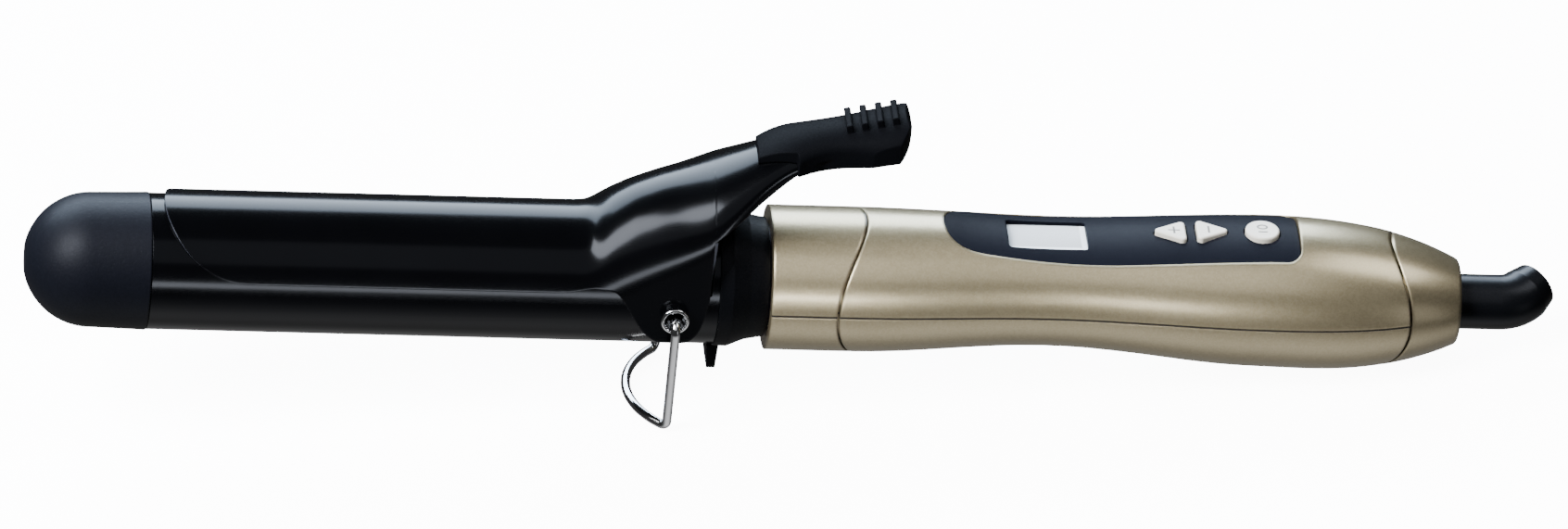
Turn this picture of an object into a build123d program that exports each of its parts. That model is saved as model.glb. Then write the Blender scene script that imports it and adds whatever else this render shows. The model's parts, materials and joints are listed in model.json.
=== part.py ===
"""Curling iron with spring clip, wire stand, display handle and swivel cord outlet. Millimetres.

The pieces are drawn on the barrel's axis: x = 0 at the rim of the cool tip, +x toward the handle,
+z toward the clip. place_on_table then sets the whole iron down on its stand and its handle.
"""

import math
import os

from build123d import *

# fits
SEAT_GAP = 0.1
RUN_GAP = 0.06
MOVE_GAP = 0.3
JOINT_GAP = 0.55
PARTING_GAP = 0.24

# barrel and cool tip
BARREL_RADIUS = 16.0
BARREL_WALL = 1.2
BARREL_LENGTH = 133.5
TIP_SKIRT = 13.3
TIP_STEP = 0.2
DOME_INSET = 0.15
NOSE_FLAT = 3.6
TIP_WALL = 2.2
TIP_SPIGOT = 9.0

# heater
STONE_LENGTH = 25.0
STONE_WIDTH = 16.0
STONE_THICKNESS = 2.2
STONE_COUNT = 3
STONE_PITCH = 29.0
ELECTRODE_THICKNESS = 0.5
MICA_THICKNESS = 0.3
SPREADER_LENGTH = 88.0
SPREADER_WALL = 2.2
SENSOR_RADIUS = 1.4
FUSE_RADIUS = 2.0
FUSE_LENGTH = 9.0
LEAD_RADIUS = 0.8

# neck collar
COLLAR_LENGTH = 12.3
COLLAR_STEP = 0.5
COLLAR_NECK_RADIUS = 14.0
COLLAR_BORE = 11.3
COLLAR_SPIGOT = 20.0
COLLAR_HUB_RADIUS = 12.5
COLLAR_HUB_LENGTH = 13.0
COLLAR_FLANGE = 1.0
TAB_HALF_WIDTH = 5.5
TAB_DROP = 7.0
TAB_THICKNESS = 2.9
TAB_TIP_THICKNESS = 1.9

# clip pivot and rivets
PIVOT_BACK = 10.5
PIVOT_Z = -0.8
RIVET_RADIUS = 2.1
RIVET_NECK_RADIUS = 2.7
RIVET_FLANGE_RADIUS = 3.35
RIVET_NECK_LENGTH = 1.5
RIVET_FLANGE_THICKNESS = 0.8
RIVET_FLARE = 2.15

# spring clip
SHEET = 0.8
CLIP_FRONT = 3.9
CLIP_NOSE = 17.0
CLIP_HALF_ANGLE = 73.0
CREASE_BACK = 20.0
EAR_RADIUS = 7.0
EAR_REAR = 8.0
EAR_REAR_RISE = 2.5
LEVER_REACH = 42.0
SPRING_HALF_WIDTH = 3.2
SPRING_THICKNESS = 0.5

# thumb pad
PAD_WALL = 0.9
PAD_TONGUE_AT = 17.8
PAD_BODY_AT = 27.4
PAD_END_AT = 53.6
PAD_HALF_WIDTH = 7.7
PAD_TONGUE_HALF = 4.8
PAD_CROWN = 4.5
PAD_BODY_RISE = 24.0
PAD_END_RISE = 30.1
PAD_BODY_FOOT = 16.1
PAD_TONGUE_FOOT = 15.6
PAD_END_FOOT = 21.4
PAD_END_BOW = 3.0
RIB_COUNT = 4
RIB_PITCH = 3.55
RIB_WIDTH = 1.6
RIB_HEIGHT = 1.4
RIB_HALF_LENGTH = 4.1
RIB_EDGE = 0.45

# wire stand
WIRE_RADIUS = 1.1
STAND_HOOK = 2.5
STAND_FOOT_HALF = 17.0
STAND_DROP = 30.8
STAND_LEAN = -1.2
STAND_BEND = 2.2
FOOT_RADIUS = 21.3

# handle
HANDLE_LENGTH = 164.0
HANDLE_WALL = 2.0
RING_RADIUS = 17.05
RING_SPAN = 20.0
WAIST_AT = 66.0
WAIST_RADIUS = 15.35
WAIST_RISE = 1.0
BULGE_BACK = 44.0
BULGE_RADIUS = 17.9
BULGE_RISE = -0.35
TAIL_RADIUS = 9.9
TAIL_RISE = -1.9
TAIL_FALL = 2.7
TAIL_EDGE = 1.4
JOINT_DEPTH = 7.0
FRONT_JOINT_AT = 15.8
REAR_JOINT_BACK = 12.5
RING_BORE_WALL = 3.0
LAP_THICKNESS = 1.1
LAP_LENGTH = 3.5

# control panel, display and buttons
PANEL_START = 40.8
PANEL_END = 124.7
PANEL_HALF = 10.5
PANEL_END_HALF = 10.0
PANEL_NOSE = 10.2
PANEL_NOSE_HALF = 9.0
PANEL_THICKNESS = 1.6
PANEL_CROWN_RADIUS = 30.0
PANEL_CORNER = 3.4
PANEL_RECESS = 0.1
WINDOW_AT = 65.3
WINDOW_LENGTH = 18.8
WINDOW_WIDTH = 11.6
WINDOW_RECESS = 1.1
LENS_THICKNESS = 1.2
BUTTON_PROUD = 0.9
BUTTON_TRAVEL = 0.5
BUTTON_FLANGE = 0.8
TRIANGLE_LENGTH = 8.4
TRIANGLE_HALF = 4.5
TRIANGLE_ROUND = 1.0
PLUS_BASE_AT = 98.0
MINUS_BASE_AT = 100.5
POWER_AT = 116.1
POWER_RADIUS = 4.05

# electronics
BOARD_START = 45.0
BOARD_END = 128.0
BOARD_HALF = 7.6
BOARD_TOP = 8.5
BOARD_THICKNESS = 1.6
SWITCH_SIZE = 6.0
SWITCH_BODY = 2.0
PLUNGER_RADIUS = 1.6
SCREW_RADIUS = 1.3
SCREW_HEAD_RADIUS = 2.5
SCREW_HEAD = 1.6
BOSS_RADIUS = 3.0
FRONT_SCREW_AT = 33.0
REAR_SCREW_AT = 134.5

# cord swivel
SLEEVE_RADIUS = 6.5
SLEEVE_LENGTH = 10.0
SLEEVE_FLANGE_RADIUS = 8.0
SLEEVE_FLANGE = 2.0
TAIL_WALL = 5.0
ELBOW_RADIUS = 9.0
ELBOW_ANGLE = 45.0
ELBOW_TURN = 22.0
OUTLET_LENGTH = 3.9
OUTLET_RADIUS = 5.6
CORD_BORE = 3.4
CORD_BORE_DEPTH = 8.0
SHAFT_RADIUS = 4.6
SHAFT_LENGTH = 9.0
SLIP_RING_WIDTH = 1.8
SLIP_RING_THICKNESS = 0.7

HANDLE_START = BARREL_LENGTH + COLLAR_LENGTH
HANDLE_END = HANDLE_START + HANDLE_LENGTH
RING_END = HANDLE_START + RING_SPAN
WAIST_X = HANDLE_START + WAIST_AT
BULGE_X = HANDLE_END - BULGE_BACK
BARREL_BORE = BARREL_RADIUS - BARREL_WALL
PIVOT_X = BARREL_LENGTH - PIVOT_BACK
CREASE_X = PIVOT_X - CREASE_BACK
LEVER_END = PIVOT_X + LEVER_REACH
PAD_TONGUE_X = PIVOT_X + PAD_TONGUE_AT
PAD_BODY_X = PIVOT_X + PAD_BODY_AT
PAD_END = PIVOT_X + PAD_END_AT
CLIP_INNER = BARREL_RADIUS + MOVE_GAP
CLIP_OUTER = CLIP_INNER + SHEET
DOME_RADIUS = BARREL_RADIUS - DOME_INSET
COLLAR_RADIUS = BARREL_RADIUS + COLLAR_STEP
SPREADER_START = (TIP_SPIGOT + BARREL_LENGTH - COLLAR_SPIGOT - SPREADER_LENGTH) / 2
EAR_REAR_TOP = CLIP_OUTER + EAR_REAR_RISE
PAD_BODY_TOP = CLIP_OUTER + PAD_BODY_RISE
PAD_END_TOP = CLIP_OUTER + PAD_END_RISE
PAD_BODY_BOTTOM = CLIP_OUTER + PAD_BODY_FOOT
PAD_TONGUE_BOTTOM = CLIP_OUTER + PAD_TONGUE_FOOT
PAD_END_BOTTOM = CLIP_OUTER + PAD_END_FOOT
STAND_TOP_HALF = CLIP_OUTER + SEAT_GAP + RIVET_NECK_LENGTH + RIVET_FLANGE_THICKNESS + STAND_HOOK
RIVET_BORE = WIRE_RADIUS + RUN_GAP
AXIS_X = Axis.X
LARGE = 60.0

pieces = {}


def keep(builder, label):
    """Name a finished piece."""
    builder.part.label = label
    pieces[label] = builder.part


def eased(x, x0, x1, v0, v1):
    """Value that leaves v0 and reaches v1 level at both ends."""
    t = min(max((x - x0) / (x1 - x0), 0.0), 1.0)
    return v0 + (v1 - v0) * (1 - math.cos(math.pi * t)) / 2


def handle_radius(x):
    """Radius of the handle: ring, waist, bulge, then a falling curve to the tail."""
    if x < WAIST_X:
        return eased(x, RING_END, WAIST_X, RING_RADIUS, WAIST_RADIUS)
    if x < BULGE_X:
        return eased(x, WAIST_X, BULGE_X, WAIST_RADIUS, BULGE_RADIUS)
    t = (x - BULGE_X) / (HANDLE_END - BULGE_X)
    return BULGE_RADIUS - (BULGE_RADIUS - TAIL_RADIUS) * t**TAIL_FALL


def handle_rise(x):
    """Height of the handle's centre line over the barrel's axis."""
    if x < WAIST_X:
        return eased(x, RING_END, WAIST_X, 0.0, WAIST_RISE)
    if x < BULGE_X:
        return eased(x, WAIST_X, BULGE_X, WAIST_RISE, BULGE_RISE)
    t = (x - BULGE_X) / (HANDLE_END - BULGE_X)
    return BULGE_RISE + (TAIL_RISE - BULGE_RISE) * t


def stations(x0, x1, count):
    """Evenly spaced places from x0 to x1."""
    return [x0 + (x1 - x0) * i / (count - 1) for i in range(count)]


def round_body(inset, x0, x1, count):
    """Solid of round sections along the handle, inset from its surface."""
    with BuildPart() as body:
        for x in stations(x0, x1, count):
            with BuildSketch(Plane.YZ.offset(x)):
                with Locations((0, handle_rise(x))):
                    Circle(handle_radius(x) - inset)
        loft()
    return body.part


def joint_edge(x_side, depth, height):
    """x of a joint's arc at a height, where depth is its bow over the ring's radius."""
    bow = abs(depth)
    arc = (RING_RADIUS**2 + bow**2) / (2 * bow)
    reach = arc - math.sqrt(arc**2 - height**2)
    return x_side + math.copysign(reach, depth)


def slab(x0, depth0, x1, depth1, z0, z1):
    """Block seen from the side between two joint arcs, from z0 to z1."""
    top = 20.0
    with BuildPart() as block:
        with BuildSketch(Plane.XZ):
            with BuildLine():
                e0 = joint_edge(x0, depth0, top)
                e1 = joint_edge(x1, depth1, top)
                ThreePointArc((e0, top), (x0, 0), (e0, -top))
                Line((e0, -top), (e1, -top))
                ThreePointArc((e1, -top), (x1, 0), (e1, top))
                Line((e1, top), (e0, top))
            make_face()
            with Locations(((x0 + x1) / 2, (z0 + z1) / 2)):
                Rectangle(HANDLE_LENGTH + LARGE, z1 - z0, mode=Mode.INTERSECT)
        extrude(amount=LARGE, both=True)
    return block.part


def tube_path(points, radius, bend):
    """Round wire along straight runs with equal bends."""
    with BuildPart() as wire:
        with BuildLine() as path:
            FilletPolyline(*points, radius=bend)
        with BuildSketch(Plane(path.line @ 0, z_dir=path.line % 0)):
            Circle(radius)
        sweep()
    return wire.part


# cool tip
nose_angle = math.asin(NOSE_FLAT / DOME_RADIUS)
nose_x = -TIP_SKIRT - DOME_RADIUS * math.cos(nose_angle)
inner_dome = DOME_RADIUS - TIP_WALL
spigot_radius = BARREL_BORE - SEAT_GAP
with BuildPart() as cool_tip:
    with BuildSketch(Plane.XZ):
        with BuildLine():
            half = math.pi / 4
            Line((nose_x, 0), (nose_x, NOSE_FLAT))
            ThreePointArc(
                (nose_x, NOSE_FLAT),
                (-TIP_SKIRT - DOME_RADIUS * math.cos(half), DOME_RADIUS * math.sin(half)),
                (-TIP_SKIRT, DOME_RADIUS),
            )
            Polyline(
                (-TIP_SKIRT, DOME_RADIUS),
                (0, BARREL_RADIUS + TIP_STEP),
                (0, spigot_radius),
                (TIP_SPIGOT, spigot_radius),
                (TIP_SPIGOT, inner_dome - SEAT_GAP),
                (-TIP_SKIRT, inner_dome),
            )
            ThreePointArc(
                (-TIP_SKIRT, inner_dome),
                (-TIP_SKIRT - inner_dome * math.cos(half), inner_dome * math.sin(half)),
                (-TIP_SKIRT - inner_dome, 0),
            )
            Line((-TIP_SKIRT - inner_dome, 0), (nose_x, 0))
        make_face()
    revolve(axis=AXIS_X)
    nose_edges = cool_tip.edges().filter_by(GeomType.CIRCLE).group_by(Axis.X)[0]
    fillet(nose_edges, radius=1.6)
    rim_edges = [e for e in cool_tip.edges().filter_by(GeomType.CIRCLE)
                 if abs(e.radius - BARREL_RADIUS - TIP_STEP) < 0.01]
    fillet(rim_edges, radius=0.35)
keep(cool_tip, "cool_tip")

# barrel tube
barrel_start = SEAT_GAP
with BuildPart() as barrel_tube:
    with BuildSketch(Plane.YZ.offset(barrel_start)):
        Circle(BARREL_RADIUS)
        Circle(BARREL_BORE, mode=Mode.SUBTRACT)
    extrude(amount=BARREL_LENGTH - barrel_start)
    with BuildSketch(Plane.XZ):
        with Locations((PIVOT_X, PIVOT_Z)):
            Circle(RIVET_RADIUS + SEAT_GAP)
    extrude(amount=LARGE, both=True, mode=Mode.SUBTRACT)
keep(barrel_tube, "barrel_tube")

# heater stack in the barrel
stack = STONE_THICKNESS / 2
plate_top = stack + ELECTRODE_THICKNESS
mica_top = plate_top + MICA_THICKNESS
spreader_radius = BARREL_BORE - 2 * SEAT_GAP
spreader_end = SPREADER_START + SPREADER_LENGTH
spreader_mid = SPREADER_START + SPREADER_LENGTH / 2
for side, label in ((1, "heat_spreader_upper"), (-1, "heat_spreader_lower")):
    with BuildPart() as spreader:
        with BuildSketch(Plane.YZ.offset(SPREADER_START)):
            Circle(spreader_radius)
            with Locations((0, -side * (LARGE / 2 - mica_top - SEAT_GAP / 2))):
                Rectangle(LARGE, LARGE, mode=Mode.SUBTRACT)
            with BuildSketch(mode=Mode.PRIVATE) as hollow:
                Circle(spreader_radius - SPREADER_WALL)
                with Locations((0, -side * (LARGE / 2 - mica_top - SPREADER_WALL))):
                    Rectangle(LARGE, LARGE, mode=Mode.SUBTRACT)
                Rectangle(SPREADER_WALL, LARGE, mode=Mode.SUBTRACT)
            add(hollow.sketch, mode=Mode.SUBTRACT)
        extrude(amount=SPREADER_LENGTH)
    keep(spreader, label)

with BuildPart() as ptc_stones:
    for i in range(STONE_COUNT):
        x = spreader_mid + (i - (STONE_COUNT - 1) / 2) * STONE_PITCH
        with BuildSketch(Plane.YZ.offset(x - STONE_LENGTH / 2)):
            Rectangle(STONE_WIDTH, STONE_THICKNESS)
        extrude(amount=STONE_LENGTH)
keep(ptc_stones, "ptc_stones")

with BuildPart() as electrode_plates:
    for side in (1, -1):
        with BuildSketch(Plane.YZ.offset(SPREADER_START)):
            with Locations((0, side * (stack + ELECTRODE_THICKNESS / 2))):
                Rectangle(STONE_WIDTH, ELECTRODE_THICKNESS)
        extrude(amount=SPREADER_LENGTH + 1.0)
keep(electrode_plates, "electrode_plates")

with BuildPart() as mica_sheets:
    for side in (1, -1):
        with BuildSketch(Plane.YZ.offset(SPREADER_START)):
            with Locations((0, side * (plate_top + MICA_THICKNESS / 2))):
                Rectangle(STONE_WIDTH + 4, MICA_THICKNESS)
        extrude(amount=SPREADER_LENGTH)
keep(mica_sheets, "mica_sheets")

sensor_height = mica_top + SPREADER_WALL + SENSOR_RADIUS + SEAT_GAP
sensor_side = SPREADER_WALL / 2 + SENSOR_RADIUS + SEAT_GAP
with BuildPart() as temperature_sensor:
    with BuildSketch(Plane.YZ.offset(spreader_end - 8)):
        with Locations((sensor_side, sensor_height)):
            Circle(SENSOR_RADIUS)
    extrude(amount=6)
keep(temperature_sensor, "temperature_sensor")

# leads from the heater through the neck to the board
board_mid = BOARD_TOP - BOARD_THICKNESS / 2
lead_x = spreader_end + 1.0 + SEAT_GAP
board_front = HANDLE_START + BOARD_START - SEAT_GAP
fuse_x = HANDLE_START - 4.0
lead_side = 5.0
lead_in = stack + ELECTRODE_THICKNESS / 2
with BuildPart() as thermal_fuse:
    with BuildSketch(Plane.YZ.offset(fuse_x)):
        with Locations((-lead_side, 0)):
            Circle(FUSE_RADIUS)
    extrude(amount=FUSE_LENGTH)
keep(thermal_fuse, "thermal_fuse")
with BuildPart() as heater_leads:
    for side in (1, -1):
        start = (lead_x, side * lead_side, side * lead_in)
        turn = (lead_x + 6, side * lead_side, 0)
        mid = (HANDLE_START + 16, side * lead_side, 0)
        rise = (HANDLE_START + 34, side * lead_side, board_mid)
        end = (board_front, side * lead_side, board_mid)
        if side > 0:
            add(tube_path([start, turn, mid, rise, end], LEAD_RADIUS, 3))
        else:
            add(tube_path([start, turn, (fuse_x - SEAT_GAP, -lead_side, 0)], LEAD_RADIUS, 3))
            tail = (fuse_x + FUSE_LENGTH + SEAT_GAP, -lead_side, 0)
            add(tube_path([tail, mid, rise, end], LEAD_RADIUS, 3))
keep(heater_leads, "heater_leads")
with BuildPart() as sensor_leads:
    for side in (1, -1):
        near = sensor_side + side * 0.7
        far = side * (BOSS_RADIUS + 0.65)
        points = [
            (spreader_end - 2 + SEAT_GAP, near, sensor_height),
            (spreader_end + 8, near, sensor_height),
            (HANDLE_START + 6, far, sensor_height),
            (HANDLE_START + 24, far, board_mid),
            (board_front, far, board_mid),
        ]
        add(tube_path(points, LEAD_RADIUS / 2, 4))
keep(sensor_leads, "sensor_leads")

# neck collar with its stop tab
hub_end = HANDLE_START + COLLAR_HUB_LENGTH
ring_wall_end = HANDLE_START + RING_BORE_WALL
flange_radius = COLLAR_HUB_RADIUS + COLLAR_FLANGE
with BuildPart() as neck_collar:
    with BuildSketch(Plane.XZ):
        with BuildLine():
            Polyline(
                (BARREL_LENGTH - COLLAR_SPIGOT, COLLAR_BORE),
                (BARREL_LENGTH - COLLAR_SPIGOT, spigot_radius),
                (BARREL_LENGTH, spigot_radius),
                (BARREL_LENGTH, COLLAR_RADIUS),
                (BARREL_LENGTH + 0.26 * COLLAR_LENGTH, COLLAR_RADIUS),
                (BARREL_LENGTH + 0.6 * COLLAR_LENGTH, COLLAR_NECK_RADIUS + 0.8),
                (HANDLE_START - JOINT_GAP, COLLAR_NECK_RADIUS),
                (HANDLE_START - JOINT_GAP, COLLAR_HUB_RADIUS),
                (ring_wall_end + SEAT_GAP, COLLAR_HUB_RADIUS),
                (ring_wall_end + SEAT_GAP, flange_radius),
                (ring_wall_end + 2.6, flange_radius),
                (ring_wall_end + 2.6, COLLAR_HUB_RADIUS),
                (hub_end, COLLAR_HUB_RADIUS),
                (hub_end, COLLAR_BORE),
                close=True,
            )
        make_face()
    revolve(axis=AXIS_X)
    tab_mid = BARREL_LENGTH + 0.6
    tab_bottom = -BARREL_RADIUS - TAB_DROP
    with BuildSketch(Plane.XZ):
        with BuildLine():
            Polyline(
                (tab_mid - TAB_THICKNESS / 2, -BARREL_RADIUS - SEAT_GAP),
                (BARREL_LENGTH, -BARREL_RADIUS - SEAT_GAP),
                (BARREL_LENGTH, -spigot_radius),
                (tab_mid + TAB_THICKNESS / 2, -spigot_radius),
                (tab_mid + TAB_TIP_THICKNESS / 2, tab_bottom),
                (tab_mid - TAB_TIP_THICKNESS / 2, tab_bottom),
                close=True,
            )
        make_face()
    extrude(amount=TAB_HALF_WIDTH, both=True)
    with BuildSketch(Plane.YZ.offset(BARREL_LENGTH - COLLAR_SPIGOT)):
        Circle(COLLAR_BORE)
    extrude(amount=COLLAR_SPIGOT + LARGE, mode=Mode.SUBTRACT)
    with BuildSketch(Plane.XZ):
        with Locations((PIVOT_X, PIVOT_Z)):
            Circle(RIVET_RADIUS + SEAT_GAP)
    extrude(amount=LARGE, both=True, mode=Mode.SUBTRACT)
    tab_corners = neck_collar.edges().filter_by(Axis.X).group_by(Axis.Z)[0]
    fillet(tab_corners, radius=1.6)
keep(neck_collar, "neck_collar")

# hollow rivets that carry the clip and the stand
rivet_in = COLLAR_BORE - 0.6
rivet_neck = CLIP_OUTER + SEAT_GAP
rivet_flange = rivet_neck + RIVET_NECK_LENGTH
rivet_out = rivet_flange + RIVET_FLANGE_THICKNESS
rivet_bore_end = rivet_in + 1.6
with BuildPart() as pivot_rivets:
    for side in (1, -1):
        with BuildSketch(Plane.XY.offset(PIVOT_Z)):
            with BuildLine():
                Polyline(
                    (PIVOT_X, side * rivet_in),
                    (PIVOT_X + RIVET_RADIUS, side * rivet_in),
                    (PIVOT_X + RIVET_RADIUS, side * rivet_neck),
                    (PIVOT_X + RIVET_NECK_RADIUS, side * rivet_neck),
                    (PIVOT_X + RIVET_NECK_RADIUS, side * rivet_flange),
                    (PIVOT_X + RIVET_FLANGE_RADIUS, side * rivet_flange),
                    (PIVOT_X + RIVET_FLANGE_RADIUS, side * rivet_out),
                    (PIVOT_X + RIVET_FLARE, side * rivet_out),
                    (PIVOT_X + RIVET_BORE, side * (rivet_out - 1.0)),
                    (PIVOT_X + RIVET_BORE, side * rivet_bore_end),
                    (PIVOT_X, side * rivet_bore_end),
                    close=True,
                )
            make_face()
        revolve(axis=Axis((PIVOT_X, 0, PIVOT_Z), (0, 1, 0)))
    outer_rims = [e for e in pivot_rivets.edges().filter_by(GeomType.CIRCLE)
                  if abs(e.radius - RIVET_FLANGE_RADIUS) < 0.01]
    fillet(outer_rims, radius=0.3)
keep(pivot_rivets, "pivot_rivets")

# spring clip: curved tongue, folded horn and ears from one sheet
lever_sections = [
    (CREASE_X, CLIP_OUTER, 0.0, CLIP_OUTER),
    (PIVOT_X - 16, CLIP_OUTER, 0.175 * CLIP_OUTER, CLIP_OUTER + 3.5),
    (PIVOT_X - 11, CLIP_OUTER, 0.468 * CLIP_OUTER, CLIP_OUTER + 6.4),
    (PIVOT_X - 5, CLIP_OUTER, 0.719 * CLIP_OUTER, CLIP_OUTER + 8.9),
    (PIVOT_X + 1, CLIP_OUTER, CLIP_OUTER - 1.1, CLIP_OUTER + 10.9),
    (PIVOT_X + 7, CLIP_OUTER + 0.1, CLIP_OUTER + 2.7, CLIP_OUTER + 13.1),
    (PIVOT_X + 13, CLIP_OUTER - 2.5, CLIP_OUTER + 7.5, CLIP_OUTER + 15.7),
    (PIVOT_X + 19, CLIP_OUTER - 6.5, CLIP_OUTER + 12.2, CLIP_OUTER + 18.4),
    (PIVOT_X + 25, PAD_HALF_WIDTH + 0.1, CLIP_OUTER + 15.9, CLIP_OUTER + 20.7),
    (PIVOT_X + 31, PAD_HALF_WIDTH - PAD_WALL, CLIP_OUTER + 18.5, CLIP_OUTER + 22.4),
    (PIVOT_X + 36.5, PAD_HALF_WIDTH - PAD_WALL - 0.3, CLIP_OUTER + 20.0, CLIP_OUTER + 23.7),
    (LEVER_END, PAD_HALF_WIDTH - PAD_WALL - 0.4, CLIP_OUTER + 21.2, CLIP_OUTER + 24.7),
]


def arch_body(inset):
    """Solid under the lever's arches, inset from the sheet's outer face."""
    floor = -EAR_RADIUS - 6
    with BuildPart() as body:
        for x, half, spring, top in lever_sections:
            w = half - inset
            with BuildSketch(Plane.YZ.offset(x)):
                with BuildLine():
                    Line((w, floor), (w, spring))
                    EllipticalCenterArc((0, spring), w, top - inset - spring, start_angle=0, arc_size=180)
                    Line((-w, spring), (-w, floor))
                    Line((-w, floor), (w, floor))
                make_face()
        loft()
    return body.part


lip = CLIP_OUTER * math.cos(math.radians(CLIP_HALF_ANGLE)) - 0.12
lever_tip = LEVER_END - SEAT_GAP
lever_slope = (PAD_END_BOTTOM - PAD_BODY_BOTTOM) / (PAD_END - PAD_BODY_X)
with BuildPart() as clip_plate:
    add(arch_body(0))
    add(arch_body(SHEET), mode=Mode.SUBTRACT)
    with BuildSketch(Plane.XZ):
        with BuildLine():
            ear_top = PIVOT_Z + 6.5
            Polyline(
                (CREASE_X, lip),
                (PIVOT_X - 11.5, lip),
                (PIVOT_X - EAR_RADIUS, PIVOT_Z - 0.8),
                (PIVOT_X, PIVOT_Z),
                (PIVOT_X + EAR_RADIUS, PIVOT_Z),
                (PIVOT_X + EAR_REAR, ear_top),
                (PIVOT_X + EAR_REAR, EAR_REAR_TOP),
                (PAD_BODY_X, PAD_BODY_BOTTOM + 0.3),
                (lever_tip, PAD_BODY_BOTTOM + 0.3 + lever_slope * (lever_tip - PAD_BODY_X)),
                (lever_tip, LARGE),
                (CREASE_X, LARGE),
                close=True,
            )
        make_face()
        with Locations((PIVOT_X, PIVOT_Z)):
            Circle(EAR_RADIUS)
    extrude(amount=LARGE, both=True, mode=Mode.INTERSECT)
    with BuildSketch(Plane.YZ.offset(CLIP_FRONT)):
        with BuildLine():
            start_angle = 90 - CLIP_HALF_ANGLE
            outer = CenterArc((0, 0), CLIP_OUTER, start_angle, 2 * CLIP_HALF_ANGLE)
            inner = CenterArc((0, 0), CLIP_INNER, start_angle, 2 * CLIP_HALF_ANGLE)
            Line(outer @ 0, inner @ 0)
            Line(outer @ 1, inner @ 1)
        make_face()
    extrude(amount=CREASE_X - CLIP_FRONT)
    with BuildSketch(Plane.XY.offset(-LARGE)):
        with Locations((CLIP_FRONT + CLIP_NOSE, 0)):
            Ellipse(CLIP_NOSE, CLIP_OUTER)
        with Locations((CLIP_FRONT + CLIP_NOSE + LARGE * 1.5, 0)):
            Rectangle(LARGE * 3, LARGE)
    extrude(amount=3 * LARGE, mode=Mode.INTERSECT)
    with BuildSketch(Plane.XZ):
        with Locations((PIVOT_X, PIVOT_Z)):
            Circle(RIVET_RADIUS + RUN_GAP)
    extrude(amount=LARGE, both=True, mode=Mode.SUBTRACT)
keep(clip_plate, "clip_plate")

# leaf spring between the lever and the neck
with BuildPart() as clip_spring:
    with BuildSketch(Plane.XZ):
        with BuildLine():
            leaf = FilletPolyline(
                (PAD_BODY_X - 1, CLIP_OUTER + 18.0),
                (PIVOT_X + 20, CLIP_OUTER + 15.6),
                (PIVOT_X + 14.5, COLLAR_RADIUS + 0.9),
                (PIVOT_X + 11.5, COLLAR_RADIUS + 1.6),
                radius=1.5,
            )
            offset(leaf, amount=SPRING_THICKNESS / 2)
        make_face()
    extrude(amount=SPRING_HALF_WIDTH, both=True)
keep(clip_spring, "clip_spring")

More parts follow.
